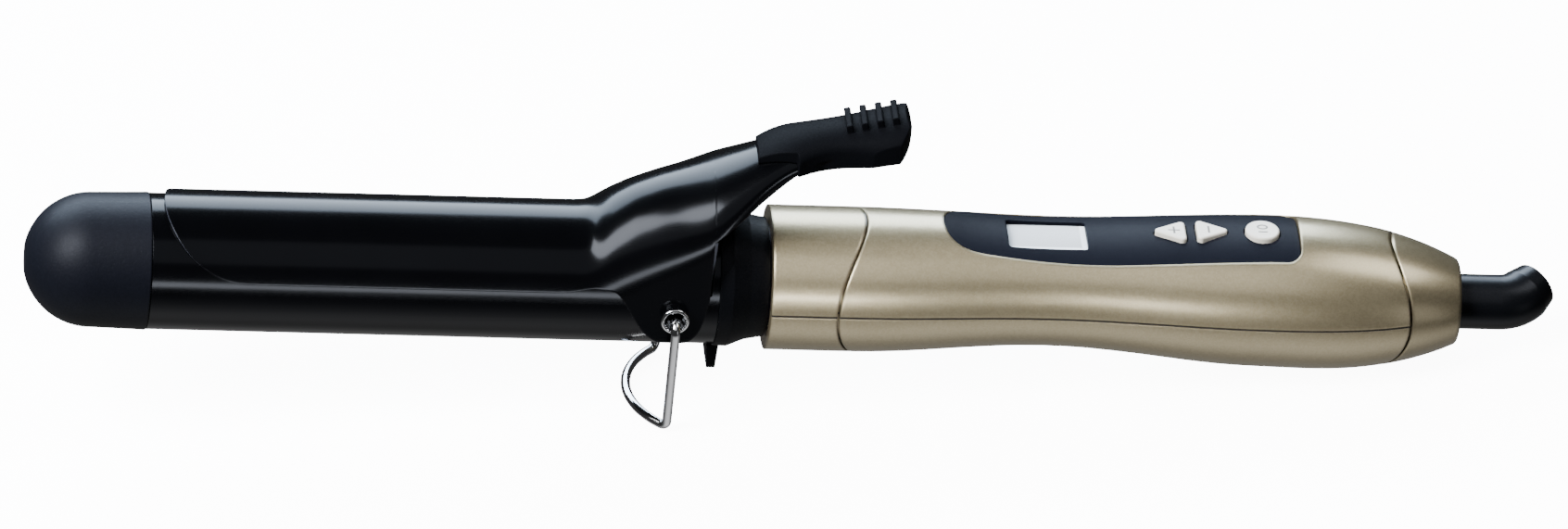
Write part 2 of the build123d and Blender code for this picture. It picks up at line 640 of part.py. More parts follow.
# thumb pad
pad_sections = [
    (PAD_TONGUE_X, CLIP_OUTER - 5.1, CLIP_OUTER + 11.7, CLIP_OUTER + 19.6),
    (PAD_TONGUE_X + 5, CLIP_OUTER - 6.9, CLIP_OUTER + 16.0, CLIP_OUTER + 22.4),
    (PAD_BODY_X, PAD_HALF_WIDTH + 0.4, CLIP_OUTER + 19.3, PAD_BODY_TOP),
    ((PAD_BODY_X + PAD_END) / 2, PAD_HALF_WIDTH, 0, 0),
    (PAD_END + 1.5, PAD_HALF_WIDTH, 0, 0),
]
pad_slope = (PAD_END_TOP - PAD_BODY_TOP) / (PAD_END - PAD_BODY_X)
with BuildPart() as thumb_pad:
    for x, half, spring, top in pad_sections:
        if not top:
            top = PAD_BODY_TOP + pad_slope * (x - PAD_BODY_X)
            spring = top - PAD_CROWN
        with BuildSketch(Plane.YZ.offset(x)):
            with BuildLine():
                Line((half, 10), (half, spring))
                EllipticalCenterArc((0, spring), half, top - spring, start_angle=0, arc_size=180)
                Line((-half, spring), (-half, 10))
                Line((-half, 10), (half, 10))
            make_face()
    loft()
    with BuildSketch(Plane.XZ):
        with BuildLine():
            Polyline(
                (PAD_END - PAD_END_BOW, PAD_END_TOP + 0.6),
                (PAD_END - PAD_END_BOW, LARGE),
                (PAD_TONGUE_X, LARGE),
                (PAD_TONGUE_X, PAD_TONGUE_BOTTOM),
                (PAD_BODY_X, PAD_BODY_BOTTOM),
                (PAD_END - PAD_END_BOW, PAD_END_BOTTOM - lever_slope * PAD_END_BOW),
            )
            ThreePointArc(
                (PAD_END - PAD_END_BOW, PAD_END_BOTTOM - lever_slope * PAD_END_BOW),
                (PAD_END, (PAD_END_BOTTOM + PAD_END_TOP) / 2),
                (PAD_END - PAD_END_BOW, PAD_END_TOP + 0.6),
            )
        make_face()
    extrude(amount=LARGE, both=True, mode=Mode.INTERSECT)
    with BuildSketch(Plane.XY):
        with BuildLine():
            tongue_half = PAD_TONGUE_HALF + 1.9
            pad_side = PAD_HALF_WIDTH + 1.0
            Polyline(
                (PAD_TONGUE_X, -PAD_TONGUE_HALF),
                (PAD_BODY_X - 0.8, -tongue_half),
                (PAD_BODY_X, -pad_side),
                (PAD_END - PAD_END_BOW, -pad_side),
            )
            ThreePointArc((PAD_END - PAD_END_BOW, -pad_side), (PAD_END, 0), (PAD_END - PAD_END_BOW, pad_side))
            Polyline(
                (PAD_END - PAD_END_BOW, pad_side),
                (PAD_BODY_X, pad_side),
                (PAD_BODY_X - 0.8, tongue_half),
                (PAD_TONGUE_X, PAD_TONGUE_HALF),
                (PAD_TONGUE_X, -PAD_TONGUE_HALF),
            )
        make_face()
    extrude(amount=LARGE, mode=Mode.INTERSECT)
    add(arch_body(-SEAT_GAP), mode=Mode.SUBTRACT)
    rib_tilt = math.degrees(math.atan(pad_slope))
    for i in range(RIB_COUNT):
        x = PAD_END - 3.9 - i * RIB_PITCH
        z = PAD_BODY_TOP + pad_slope * (x - PAD_BODY_X)
        base = Plane((x, 0, z - 1.2), x_dir=(1, 0, pad_slope), z_dir=(-pad_slope, 0, 1))
        with BuildSketch(base):
            Rectangle(RIB_WIDTH, 2 * RIB_HALF_LENGTH)
        extrude(amount=1.2 + RIB_HEIGHT)
    rib_tops = [e for e in thumb_pad.edges().filter_by(GeomType.LINE)
                if abs(e.length - 2 * RIB_HALF_LENGTH) < 0.01]
    fillet(rib_tops, radius=RIB_EDGE)
keep(thumb_pad, "thumb_pad")

# wire stand
foot_z = PIVOT_Z - STAND_DROP
foot_x = PIVOT_X - STAND_LEAN
start_y = STAND_FOOT_HALF - 1.2
foot_angle = math.asin(start_y / FOOT_RADIUS)
foot_centre = foot_x - 2.0 + FOOT_RADIUS * math.cos(foot_angle)
foot_start = Vector(foot_centre - FOOT_RADIUS * math.cos(foot_angle), -start_y, foot_z)
foot_dir = Vector(-math.sin(foot_angle), math.cos(foot_angle), 0)
corner_reach = (STAND_FOOT_HALF - start_y) / math.cos(foot_angle)
corner = foot_start - foot_dir * corner_reach
hook = Vector(PIVOT_X, -STAND_TOP_HALF, PIVOT_Z)
leg_dir = (corner - hook).normalized()
out_dir = Vector(0, -1, 0)
foot_mid = Vector(foot_centre - FOOT_RADIUS, 0, foot_z)


def mirrored(point):
    """Point on the other side of the iron."""
    return Vector(point.X, -point.Y, point.Z)


with BuildPart() as wire_stand:
    with BuildLine() as stand_path:
        wire_end = Vector(PIVOT_X, -rivet_bore_end - SEAT_GAP, PIVOT_Z)
        bend_in = hook - out_dir * STAND_BEND
        bend_out = hook + leg_dir * STAND_BEND
        low_in = corner - leg_dir * corner_reach
        Line(wire_end, bend_in)
        TangentArc(bend_in, bend_out, tangent=out_dir)
        Line(bend_out, low_in)
        TangentArc(low_in, foot_start, tangent=leg_dir)
        ThreePointArc(foot_start, foot_mid, mirrored(foot_start))
        up_dir = mirrored(leg_dir) * -1
        TangentArc(mirrored(low_in), mirrored(foot_start), tangent=mirrored(leg_dir))
        Line(mirrored(low_in), mirrored(bend_out))
        TangentArc(mirrored(bend_in), mirrored(bend_out), tangent=mirrored(out_dir))
        Line(mirrored(bend_in), mirrored(wire_end))
    with BuildSketch(Plane(wire_end, z_dir=out_dir)):
        Circle(WIRE_RADIUS)
    sweep()
keep(wire_stand, "wire_stand")

# front ring in two halves
front_joint = HANDLE_START + FRONT_JOINT_AT
rear_joint = HANDLE_END - REAR_JOINT_BACK
half_gap = JOINT_GAP / 2
half_part = PARTING_GAP / 2
lap_outer = RING_RADIUS - HANDLE_WALL - SEAT_GAP - 0.15
lap_inner = lap_outer - LAP_THICKNESS
lap_end = front_joint + JOINT_DEPTH + LAP_LENGTH
for z0, z1, label in ((half_part, LARGE, "front_ring_upper"), (-LARGE, -half_part, "front_ring_lower")):
    with BuildPart() as ring:
        add(round_body(0, HANDLE_START, front_joint + 12, 4))
        add(slab(HANDLE_START - LARGE, JOINT_DEPTH, front_joint - half_gap, JOINT_DEPTH, z0, z1),
            mode=Mode.INTERSECT)
        with BuildSketch(Plane.YZ.offset(HANDLE_START + RING_BORE_WALL)):
            Circle(lap_outer)
            with Locations((0, (z0 + z1) / 2)):
                Rectangle(LARGE, z1 - z0, mode=Mode.INTERSECT)
        extrude(amount=lap_end - HANDLE_START - RING_BORE_WALL)
        with BuildSketch(Plane.YZ.offset(ring_wall_end)):
            Circle(lap_inner)
        extrude(amount=LARGE, mode=Mode.SUBTRACT)
        with BuildSketch(Plane.YZ.offset(HANDLE_START - 1)):
            Circle(COLLAR_HUB_RADIUS + SEAT_GAP)
        extrude(amount=LARGE, mode=Mode.SUBTRACT)
    keep(ring, label)

# control panel outline and crown
panel_x0 = HANDLE_START + PANEL_START
panel_x1 = HANDLE_START + PANEL_END
panel_mid = panel_x0 + 0.52 * (panel_x1 - panel_x0)


def panel_outline(grow):
    """Plan view of the panel, tongue shaped to the front and square with round corners behind."""
    with BuildSketch() as outline:
        with BuildLine():
            tip = (panel_x0 - grow, 0)
            shoulder_x = panel_x0 + 0.26 * PANEL_NOSE - 0.7 * grow
            shoulder = (shoulder_x, -0.74 * PANEL_NOSE_HALF - 0.7 * grow)
            nose = (panel_x0 + PANEL_NOSE, -PANEL_NOSE_HALF - grow)
            middle = (panel_mid, -PANEL_HALF - grow)
            back = (panel_x1 + grow, -PANEL_END_HALF - grow)
            Spline(tip, shoulder, nose, tangents=[(0, -1), (1, -0.09)])
            TangentArc(middle, nose, tangent=(-1, 0))
            TangentArc(middle, back, tangent=(1, 0))
            Line(back, (back[0], 0))
            mirror(about=Plane.XZ)
        make_face()
        rear_corners = outline.vertices().group_by(Axis.X)[-1]
        fillet(rear_corners, radius=PANEL_CORNER)
    return outline.sketch


def panel_top(x):
    """Height of the panel's crown line, whose long edges lie level with the shell."""
    half = PANEL_HALF * (1 - 0.55 * math.exp((panel_x0 - x) / 7.0))
    r = handle_radius(x)
    shell_fall = r - math.sqrt(r * r - half * half)
    crown_fall = PANEL_CROWN_RADIUS - math.sqrt(PANEL_CROWN_RADIUS**2 - half * half)
    return handle_rise(x) + r - shell_fall + crown_fall - PANEL_RECESS


def panel_crown(drop):
    """Solid below the panel's crowned face, lowered by drop."""
    with BuildPart() as crown:
        for x in stations(panel_x0 - 2, panel_x1 + 3, 14):
            with BuildSketch(Plane.YZ.offset(x)):
                with Locations((0, panel_top(x) - drop - PANEL_CROWN_RADIUS)):
                    Circle(PANEL_CROWN_RADIUS)
        loft()
    return crown.part


def triangle(base, sign, grow):
    """Rounded triangular key seen from above, its point away from its base along x."""
    with BuildSketch() as key:
        with BuildLine():
            Polyline(
                (base, -TRIANGLE_HALF),
                (base + sign * TRIANGLE_LENGTH, 0),
                (base, TRIANGLE_HALF),
                close=True,
            )
        make_face()
        fillet(key.vertices(), radius=TRIANGLE_ROUND)
        if grow:
            offset(amount=grow, mode=Mode.REPLACE)
    return key.sketch


def disc(centre, grow):
    """Round key seen from above."""
    with BuildSketch() as key:
        with Locations((centre, 0)):
            Circle(POWER_RADIUS + grow)
    return key.sketch


plus_base = HANDLE_START + PLUS_BASE_AT
minus_base = HANDLE_START + MINUS_BASE_AT
power_x = HANDLE_START + POWER_AT
keys = {
    "plus_button": lambda grow: triangle(plus_base, -1, grow),
    "minus_button": lambda grow: triangle(minus_base, 1, grow),
    "power_button": lambda grow: disc(power_x, grow),
}
key_centre = {
    "plus_button": plus_base - TRIANGLE_LENGTH / 3,
    "minus_button": minus_base + TRIANGLE_LENGTH / 3,
    "power_button": power_x,
}
window_x = HANDLE_START + WINDOW_AT
screw_places = [(panel_x0 + 7.5, 0.0), (window_x + 17.0, 6.0), (window_x + 17.0, -6.0)]
boss_radius = 2.0
pilot_radius = 0.9

with BuildPart() as control_panel:
    add(panel_crown(0))
    with BuildSketch(Plane.XY):
        add(panel_outline(0))
    extrude(amount=LARGE, mode=Mode.INTERSECT)
    add(panel_crown(PANEL_THICKNESS), mode=Mode.SUBTRACT)
    for key in keys.values():
        with BuildSketch(Plane.XY):
            add(key(MOVE_GAP))
        extrude(amount=LARGE, mode=Mode.SUBTRACT)
    with BuildSketch(Plane.XY):
        with Locations((window_x, 0)):
            RectangleRounded(WINDOW_LENGTH, WINDOW_WIDTH, 0.9)
    extrude(amount=LARGE, mode=Mode.SUBTRACT)
    for x, y in screw_places:
        height = panel_top(x) - y * y / (2 * PANEL_CROWN_RADIUS) - PANEL_THICKNESS / 2
        with BuildSketch(Plane.XY.offset(BOARD_TOP)):
            with Locations((x, y)):
                Circle(boss_radius)
        extrude(amount=height - BOARD_TOP)
        with BuildSketch(Plane.XY.offset(BOARD_TOP)):
            with Locations((x, y)):
                Circle(pilot_radius + SEAT_GAP / 2)
        extrude(amount=height - BOARD_TOP - 0.6, mode=Mode.SUBTRACT)
keep(control_panel, "control_panel")

# display window and module
lens_top = panel_top(window_x) - WINDOW_RECESS
lens_bottom = lens_top - LENS_THICKNESS
with BuildPart() as display_lens:
    with BuildSketch(Plane.XY.offset(lens_bottom)):
        with Locations((window_x, 0)):
            RectangleRounded(WINDOW_LENGTH - SEAT_GAP, WINDOW_WIDTH - SEAT_GAP, 0.85)
    extrude(amount=LENS_THICKNESS)
keep(display_lens, "display_lens")
with BuildPart() as display_module:
    with BuildSketch(Plane.XY.offset(BOARD_TOP)):
        with Locations((window_x, 0)):
            Rectangle(WINDOW_LENGTH + 4, WINDOW_WIDTH + 2)
    extrude(amount=lens_bottom - SEAT_GAP - BOARD_TOP)
keep(display_module, "display_module")

# circuit board, switches and board parts
board_x0 = HANDLE_START + BOARD_START
board_x1 = HANDLE_START + BOARD_END
plunger_top = panel_top(min(key_centre.values())) - PANEL_THICKNESS - 0.75 - BUTTON_FLANGE - BUTTON_TRAVEL
with BuildPart() as circuit_board:
    with BuildSketch(Plane.XY.offset(BOARD_TOP - BOARD_THICKNESS)):
        with Locations(((board_x0 + board_x1) / 2, 0)):
            RectangleRounded(board_x1 - board_x0, 2 * BOARD_HALF, 1.5)
        with Locations(*screw_places):
            Circle(pilot_radius + SEAT_GAP, mode=Mode.SUBTRACT)
    extrude(amount=BOARD_THICKNESS)
keep(circuit_board, "circuit_board")
with BuildPart() as tact_switches:
    for x in key_centre.values():
        with BuildSketch(Plane.XY.offset(BOARD_TOP)):
            with Locations((x, 0)):
                Rectangle(SWITCH_SIZE, SWITCH_SIZE)
        extrude(amount=SWITCH_BODY)
        with BuildSketch(Plane.XY.offset(BOARD_TOP + SWITCH_BODY)):
            with Locations((x, 0)):
                Circle(PLUNGER_RADIUS)
        extrude(amount=plunger_top - BOARD_TOP - SWITCH_BODY)
keep(tact_switches, "tact_switches")
with BuildPart() as board_components:
    with BuildSketch(Plane.XY.offset(BOARD_TOP - BOARD_THICKNESS)):
        with Locations((window_x - 8, 0)):
            Rectangle(9, 9)
        with Locations((window_x + 8, 2)):
            Rectangle(7, 5)
    extrude(amount=-2.4)
    with BuildSketch(Plane.XY.offset(BOARD_TOP - BOARD_THICKNESS)):
        with Locations((window_x + 32, 0), (window_x + 46, 0)):
            Circle(4)
    extrude(amount=-7)
keep(board_components, "board_components")
with BuildPart() as board_screws:
    for x, y in screw_places:
        under = BOARD_TOP - BOARD_THICKNESS
        with BuildSketch(Plane.XY.offset(under - 1.0)):
            with Locations((x, y)):
                Circle(1.8)
        extrude(amount=1.0)
        with BuildSketch(Plane.XY.offset(under)):
            with Locations((x, y)):
                Circle(pilot_radius)
        extrude(amount=BOARD_THICKNESS + 2.4)
keep(board_screws, "board_screws")

# buttons
for label, key in keys.items():
    x = key_centre[label]
    flange_top = panel_top(x) - PANEL_THICKNESS - 0.75
    with BuildPart() as button:
        with BuildSketch(Plane.XY.offset(flange_top - BUTTON_FLANGE)):
            add(key(0.9))
        extrude(amount=BUTTON_FLANGE)
        with BuildSketch(Plane.XY.offset(flange_top)):
            add(key(0))
        extrude(amount=panel_top(x) + BUTTON_PROUD - flange_top)
        stem = flange_top - BUTTON_FLANGE - plunger_top - BUTTON_TRAVEL - 0.1
        if stem > 0.2:
            with BuildSketch(Plane.XY.offset(flange_top - BUTTON_FLANGE - stem)):
                with Locations((x, 0)):
                    Circle(1.6)
            extrude(amount=stem)
        crown_edges = button.edges().group_by(Axis.Z)[-1]
        fillet(crown_edges, radius=0.45)
    keep(button, label)

# handle shells
screw_x = [HANDLE_START + FRONT_SCREW_AT, HANDLE_START + REAR_SCREW_AT]
screw_seat = {x: handle_rise(x) - handle_radius(x) + HANDLE_WALL + 0.6 for x in screw_x}
boss_bore = SCREW_RADIUS + SEAT_GAP
for side, label in ((1, "handle_upper_shell"), (-1, "handle_lower_shell")):
    z0, z1 = (half_part, LARGE) if side > 0 else (-LARGE, -half_part)
    with BuildPart() as shell:
        for x in screw_x:
            with BuildSketch(Plane.XY.offset(side * half_part)):
                with Locations((x, 0)):
                    Circle(BOSS_RADIUS)
            extrude(amount=side * LARGE)
        add(round_body(HANDLE_WALL / 2, HANDLE_START, HANDLE_END, 16), mode=Mode.INTERSECT)
        with BuildPart(mode=Mode.PRIVATE) as wall:
            add(round_body(0, HANDLE_START, HANDLE_END, 16))
            add(round_body(HANDLE_WALL, HANDLE_START - 1, HANDLE_END + 1, 16), mode=Mode.SUBTRACT)
            add(slab(front_joint + half_gap, JOINT_DEPTH, rear_joint - half_gap, -JOINT_DEPTH, z0, z1),
                mode=Mode.INTERSECT)
        add(wall.part)
        if side > 0:
            with BuildSketch(Plane.XY.offset(half_part)):
                add(panel_outline(SEAT_GAP))
            extrude(amount=LARGE, mode=Mode.SUBTRACT)
            with BuildSketch(Plane.XY):
                with Locations(*[(x, 0) for x in screw_x]):
                    Circle(boss_bore)
            extrude(amount=9, mode=Mode.SUBTRACT)
        else:
            with BuildSketch(Plane.XY):
                with Locations(*[(x, 0) for x in screw_x]):
                    Circle(boss_bore)
            extrude(amount=-LARGE, mode=Mode.SUBTRACT)
            for x in screw_x:
                with BuildSketch(Plane.XY.offset(screw_seat[x])):
                    with Locations((x, 0)):
                        Circle(SCREW_HEAD_RADIUS + SEAT_GAP)
                extrude(amount=-LARGE, mode=Mode.SUBTRACT)
    keep(shell, label)
with BuildPart() as handle_screws:
    for x in screw_x:
        with BuildSketch(Plane.XY.offset(screw_seat[x])):
            with Locations((x, 0)):
                Circle(SCREW_HEAD_RADIUS)
        extrude(amount=-SCREW_HEAD)
        with BuildSketch(Plane.XY.offset(screw_seat[x])):
            with Locations((x, 0)):
                Circle(SCREW_RADIUS)
        extrude(amount=7 - screw_seat[x])
        with BuildSketch(Plane.XY.offset(screw_seat[x] - SCREW_HEAD)):
            with Locations((x, 0)):
                Rectangle(2.8, 0.7)
                Rectangle(0.7, 2.8)
        extrude(amount=0.8, mode=Mode.SUBTRACT)
keep(handle_screws, "handle_screws")

# end cap and swivel
swivel_z = TAIL_RISE
tail_wall_x = HANDLE_END - TAIL_WALL
flange_x = tail_wall_x - SEAT_GAP - SLEEVE_FLANGE
shaft_x = flange_x - SHAFT_LENGTH
cap_bore = SLEEVE_RADIUS + RUN_GAP
carrier_outer = SLEEVE_FLANGE_RADIUS + 0.8
lap_x = rear_joint - JOINT_DEPTH - LAP_LENGTH + 2
cap_lap = handle_radius(rear_joint - half_gap) - HANDLE_WALL - SEAT_GAP - 0.35
with BuildPart() as end_cap:
    add(round_body(0, rear_joint - 12, HANDLE_END, 6))
    add(slab(rear_joint + half_gap, -JOINT_DEPTH, HANDLE_END + LARGE, -JOINT_DEPTH, -LARGE, LARGE),
        mode=Mode.INTERSECT)
    tail_rim = end_cap.edges().group_by(Axis.X)[-1]
    fillet(tail_rim, radius=TAIL_EDGE)
    with BuildSketch(Plane.YZ.offset(lap_x)):
        with Locations((0, swivel_z + 0.4)):
            Circle(cap_lap - 0.4)
    extrude(amount=tail_wall_x - 3 - lap_x)
    with BuildSketch(Plane.YZ.offset(lap_x - 1)):
        with Locations((0, swivel_z)):
            Circle(carrier_outer + SEAT_GAP)
    extrude(amount=tail_wall_x - lap_x + 1, mode=Mode.SUBTRACT)
    with BuildSketch(Plane.YZ.offset(lap_x)):
        with Locations((0, swivel_z)):
            Circle(cap_bore)
    extrude(amount=LARGE, mode=Mode.SUBTRACT)
keep(end_cap, "end_cap")

turn = math.radians(ELBOW_TURN)
side_dir = Vector(0, math.cos(turn), math.sin(turn))
bend_x = HANDLE_END + SLEEVE_LENGTH
bend = math.radians(ELBOW_ANGLE)
axis_point = Vector(bend_x, 0, swivel_z)
mid_bend = axis_point + Vector(ELBOW_RADIUS * math.sin(bend / 2), 0, 0) \
    + side_dir * (ELBOW_RADIUS * (1 - math.cos(bend / 2)))
end_bend = axis_point + Vector(ELBOW_RADIUS * math.sin(bend), 0, 0) \
    + side_dir * (ELBOW_RADIUS * (1 - math.cos(bend)))
outlet_dir = Vector(math.cos(bend), 0, 0) + side_dir * math.sin(bend)
outlet_face = end_bend + outlet_dir * OUTLET_LENGTH
with BuildPart() as swivel_elbow:
    with BuildLine() as elbow_path:
        Line(Vector(flange_x + SLEEVE_FLANGE, 0, swivel_z), axis_point)
        ThreePointArc(axis_point, mid_bend, end_bend)
    with BuildSketch(Plane.YZ.offset(flange_x + SLEEVE_FLANGE)):
        with Locations((0, swivel_z)):
            Circle(SLEEVE_RADIUS)
    sweep()
    with BuildSketch(Plane(end_bend, z_dir=outlet_dir)):
        Circle(SLEEVE_RADIUS)
    with BuildSketch(Plane(outlet_face, z_dir=outlet_dir)):
        Circle(OUTLET_RADIUS)
    loft()
    with BuildSketch(Plane.YZ.offset(flange_x)):
        with Locations((0, swivel_z)):
            Circle(SLEEVE_FLANGE_RADIUS)
    extrude(amount=SLEEVE_FLANGE)
    with BuildSketch(Plane.YZ.offset(shaft_x)):
        with Locations((0, swivel_z)):
            Circle(SHAFT_RADIUS)
    extrude(amount=SHAFT_LENGTH)
    with BuildSketch(Plane(outlet_face, z_dir=outlet_dir)):
        Circle(CORD_BORE)
    extrude(amount=-CORD_BORE_DEPTH, mode=Mode.SUBTRACT)
    with BuildSketch(Plane.YZ.offset(shaft_x)):
        with Locations((0, swivel_z)):
            Circle(2.2)
    extrude(amount=bend_x - shaft_x + 1.5, mode=Mode.SUBTRACT)
keep(swivel_elbow, "swivel_elbow")

ring_places = [shaft_x + 1.2, shaft_x + SHAFT_LENGTH - 1.2 - SLIP_RING_WIDTH]
ring_outer = SHAFT_RADIUS + SLIP_RING_THICKNESS
with BuildPart() as slip_rings:
    for x in ring_places:
        with BuildSketch(Plane.YZ.offset(x)):
            with Locations((0, swivel_z)):
                Circle(ring_outer)
                Circle(SHAFT_RADIUS, mode=Mode.SUBTRACT)
        extrude(amount=SLIP_RING_WIDTH)
keep(slip_rings, "slip_rings")
carrier_inner = ring_outer + 1.2
brush_radius = 0.7
with BuildPart() as contact_carrier:
    with BuildSketch(Plane.YZ.offset(shaft_x)):
        with Locations((0, swivel_z)):
            Circle(carrier_outer)
            Circle(carrier_inner, mode=Mode.SUBTRACT)
    extrude(amount=SHAFT_LENGTH - 0.4)
    for x, side in zip(ring_places, (1, -1)):
        with BuildSketch(Plane.XZ):
            with Locations((x + SLIP_RING_WIDTH / 2, swivel_z)):
                Circle(brush_radius + SEAT_GAP / 2)
        extrude(amount=-side * LARGE, mode=Mode.SUBTRACT)
keep(contact_carrier, "contact_carrier")
with BuildPart() as contact_brushes:
    for x, side in zip(ring_places, (1, -1)):
        with BuildSketch(Plane.XZ.offset(-side * (ring_outer + RUN_GAP))):
            with Locations((x + SLIP_RING_WIDTH / 2, swivel_z)):
                Circle(brush_radius)
        extrude(amount=-side * (carrier_outer - ring_outer - 2 * RUN_GAP))
keep(contact_brushes, "contact_brushes")
with BuildPart() as mains_leads:
    for side in (1, -1):
        y = side * 6.0
        dy = math.sqrt(((carrier_outer + carrier_inner) / 2) ** 2 - 36.0)
        points = [
            (shaft_x - SEAT_GAP, y, swivel_z + dy),
            (shaft_x - 5, y, swivel_z + dy),
            (board_x1 + 4, y, board_mid),
            (board_x1 + SEAT_GAP, y, board_mid),
        ]
        add(tube_path(points, LEAD_RADIUS, 1.2))
keep(mains_leads, "mains_leads")


def place_on_table():
    """Turn and shift that set the iron down on its stand and its handle, centred over its box."""
    foot = foot_z - WIRE_RADIUS
    places = stations(WAIST_X, HANDLE_END, 200)
    pitch = min(math.atan2(handle_rise(x) - handle_radius(x) - foot, x - corner.X) for x in places)
    tilt = Location((0, 0, 0), (0, 1, 0), math.degrees(pitch))
    box = Compound([tilt * piece for piece in pieces.values()]).bounding_box()
    return Location((-box.center().X, -box.center().Y, -box.min.Z)) * tilt


table = place_on_table()
print("table", table)
os.makedirs("parts", exist_ok=True)
for label, piece in pieces.items():
    placed = table * piece
    placed.label = label
    export_step(placed, f"parts/{label}.step")
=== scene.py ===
"""Looks of a curling iron with a spring clip, a wire stand and a display handle. Metres, in the CAD frame."""

import json
import math
from typing import NamedTuple

import bpy
import numpy as np
from mathutils import Matrix, Vector


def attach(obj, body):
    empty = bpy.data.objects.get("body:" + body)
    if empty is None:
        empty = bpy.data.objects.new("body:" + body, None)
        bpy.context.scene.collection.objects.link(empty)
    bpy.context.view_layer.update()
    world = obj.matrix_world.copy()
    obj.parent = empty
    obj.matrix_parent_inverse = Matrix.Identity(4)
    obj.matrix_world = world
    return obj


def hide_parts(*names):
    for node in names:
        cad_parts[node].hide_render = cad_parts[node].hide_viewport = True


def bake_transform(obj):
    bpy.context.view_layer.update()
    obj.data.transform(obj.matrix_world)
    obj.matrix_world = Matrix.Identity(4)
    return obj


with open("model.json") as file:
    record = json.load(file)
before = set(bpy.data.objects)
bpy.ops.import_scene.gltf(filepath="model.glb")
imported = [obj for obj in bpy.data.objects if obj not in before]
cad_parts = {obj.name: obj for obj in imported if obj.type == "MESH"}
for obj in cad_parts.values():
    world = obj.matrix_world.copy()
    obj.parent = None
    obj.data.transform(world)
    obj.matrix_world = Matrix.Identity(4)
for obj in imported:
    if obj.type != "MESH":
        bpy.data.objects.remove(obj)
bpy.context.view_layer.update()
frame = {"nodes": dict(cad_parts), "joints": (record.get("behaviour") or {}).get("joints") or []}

bl_info = {
    "name": "Curling iron looks",
    "version": (1, 0, 0),
    "blender": (4, 5, 0),
    "location": "View3D > Sidebar > Iron",
    "description": "Finishes, printed marks and studio for the curling iron",
    "category": "Object",
}

MM = 0.001
JOINTS = {joint["name"]: joint for joint in frame["joints"]}

# the iron lies nose up on its stand; this is the turn about Y from the barrel's axis to the row's x
barrel_line = JOINTS["cord_turn"]["axis"]
PITCH = math.atan2(abs(barrel_line[2]), abs(barrel_line[0]))
TURN = np.array([
    [math.cos(PITCH), 0.0, -math.sin(PITCH)],
    [0.0, 1.0, 0.0],
    [math.sin(PITCH), 0.0, math.cos(PITCH)],
])
PIVOT = TURN @ np.array(JOINTS["clip_hinge"]["pos_m"])
# mm from the pivot up to the barrel's axis
AXIS_RISE = 0.8

# the clip's cross-sections, in mm: place behind the pivot, half width, the arch's spring line, crown
CLIP_SECTIONS = np.array([
    (-119.9, 17.1, 0.0, 17.1), (-20.0, 17.1, 0.0, 17.1), (-16.0, 17.1, 1.6, 20.6), (-11.0, 17.1, 4.7, 23.5),
    (-5.0, 17.1, 8.4, 26.0), (1.0, 17.1, 11.9, 28.0), (7.0, 17.25, 16.0, 30.2), (9.0, 16.95, 17.8, 31.1),
    (13.0, 14.6, 22.2, 32.8), (19.0, 10.6, 28.9, 35.5), (25.0, 7.8, 33.0, 37.8), (31.0, 6.8, 35.6, 39.5),
    (36.5, 6.5, 37.1, 40.8), (41.9, 6.4, 38.3, 41.8),
])
# corners of the clip's lower edge, in mm: place behind the pivot, height over the barrel's axis
TONGUE_EDGE = np.array([
    (-119.9, 4.6), (-25.5, 4.6), (-19.0, 6.0), (-13.6, 5.4), (-7.4, -5.2), (-4.0, -8.1), (3.6, -8.1),
    (7.0, -4.2), (7.9, 3.6), (9.0, 12.0),
])
LEVER_EDGE = np.array([(8.0, 19.6), (27.4, 33.5), (41.9, 36.4)])
# mm behind the pivot where the ears end and the lever stands free
EAR_REAR = 8.0
# mm of the tongue that its rounded nose takes up
NOSE_LENGTH = 20.0

# corners of the leaf spring, in mm from the pivot and the barrel's axis: lever end, bend, foot and toe
LEAF_CORNERS = np.array([(26.4, 0.0, 35.1), (20.0, 0.0, 32.7), (14.5, 0.0, 17.4), (11.5, 0.0, 18.1)])
# ends of the part of the leaf that flexes
LEAF_FLEX = np.array([(20.0, 0.0, 32.7), (14.5, 0.0, 17.6)])
LEAF_HALF_THICK = 0.25
LEAF_HALF_WIDE = 3.2

# CAD nodes in the handle's paint
PAINTED = "handle_upper_shell", "handle_lower_shell", "front_ring_upper", "front_ring_lower"
# colours
# dark colour of the painted shade in the gap of the handle's parting line
SEAM_SHADE = (0.022, 0.017, 0.011)
# colour of the painted shadow of the display recess's far wall
FAR_WALL_SHADOW = (0.006, 0.007, 0.009)
SPRING_STEEL = (0.42, 0.42, 0.44)
SCREW_STEEL = (0.50, 0.50, 0.51)

# metals inside: colour, roughness, CAD nodes
INNER_METALS = {
    "cast_aluminium": ((0.66, 0.67, 0.68), 0.38, ("heat_spreader_upper", "heat_spreader_lower")),
    "sheet_brass": ((0.72, 0.54, 0.25), 0.30, ("electrode_plates", "slip_rings")),
    "spring_copper": ((0.76, 0.42, 0.27), 0.28, ("contact_brushes",)),
    "fuse_case": ((0.55, 0.55, 0.53), 0.32, ("thermal_fuse",)),
}
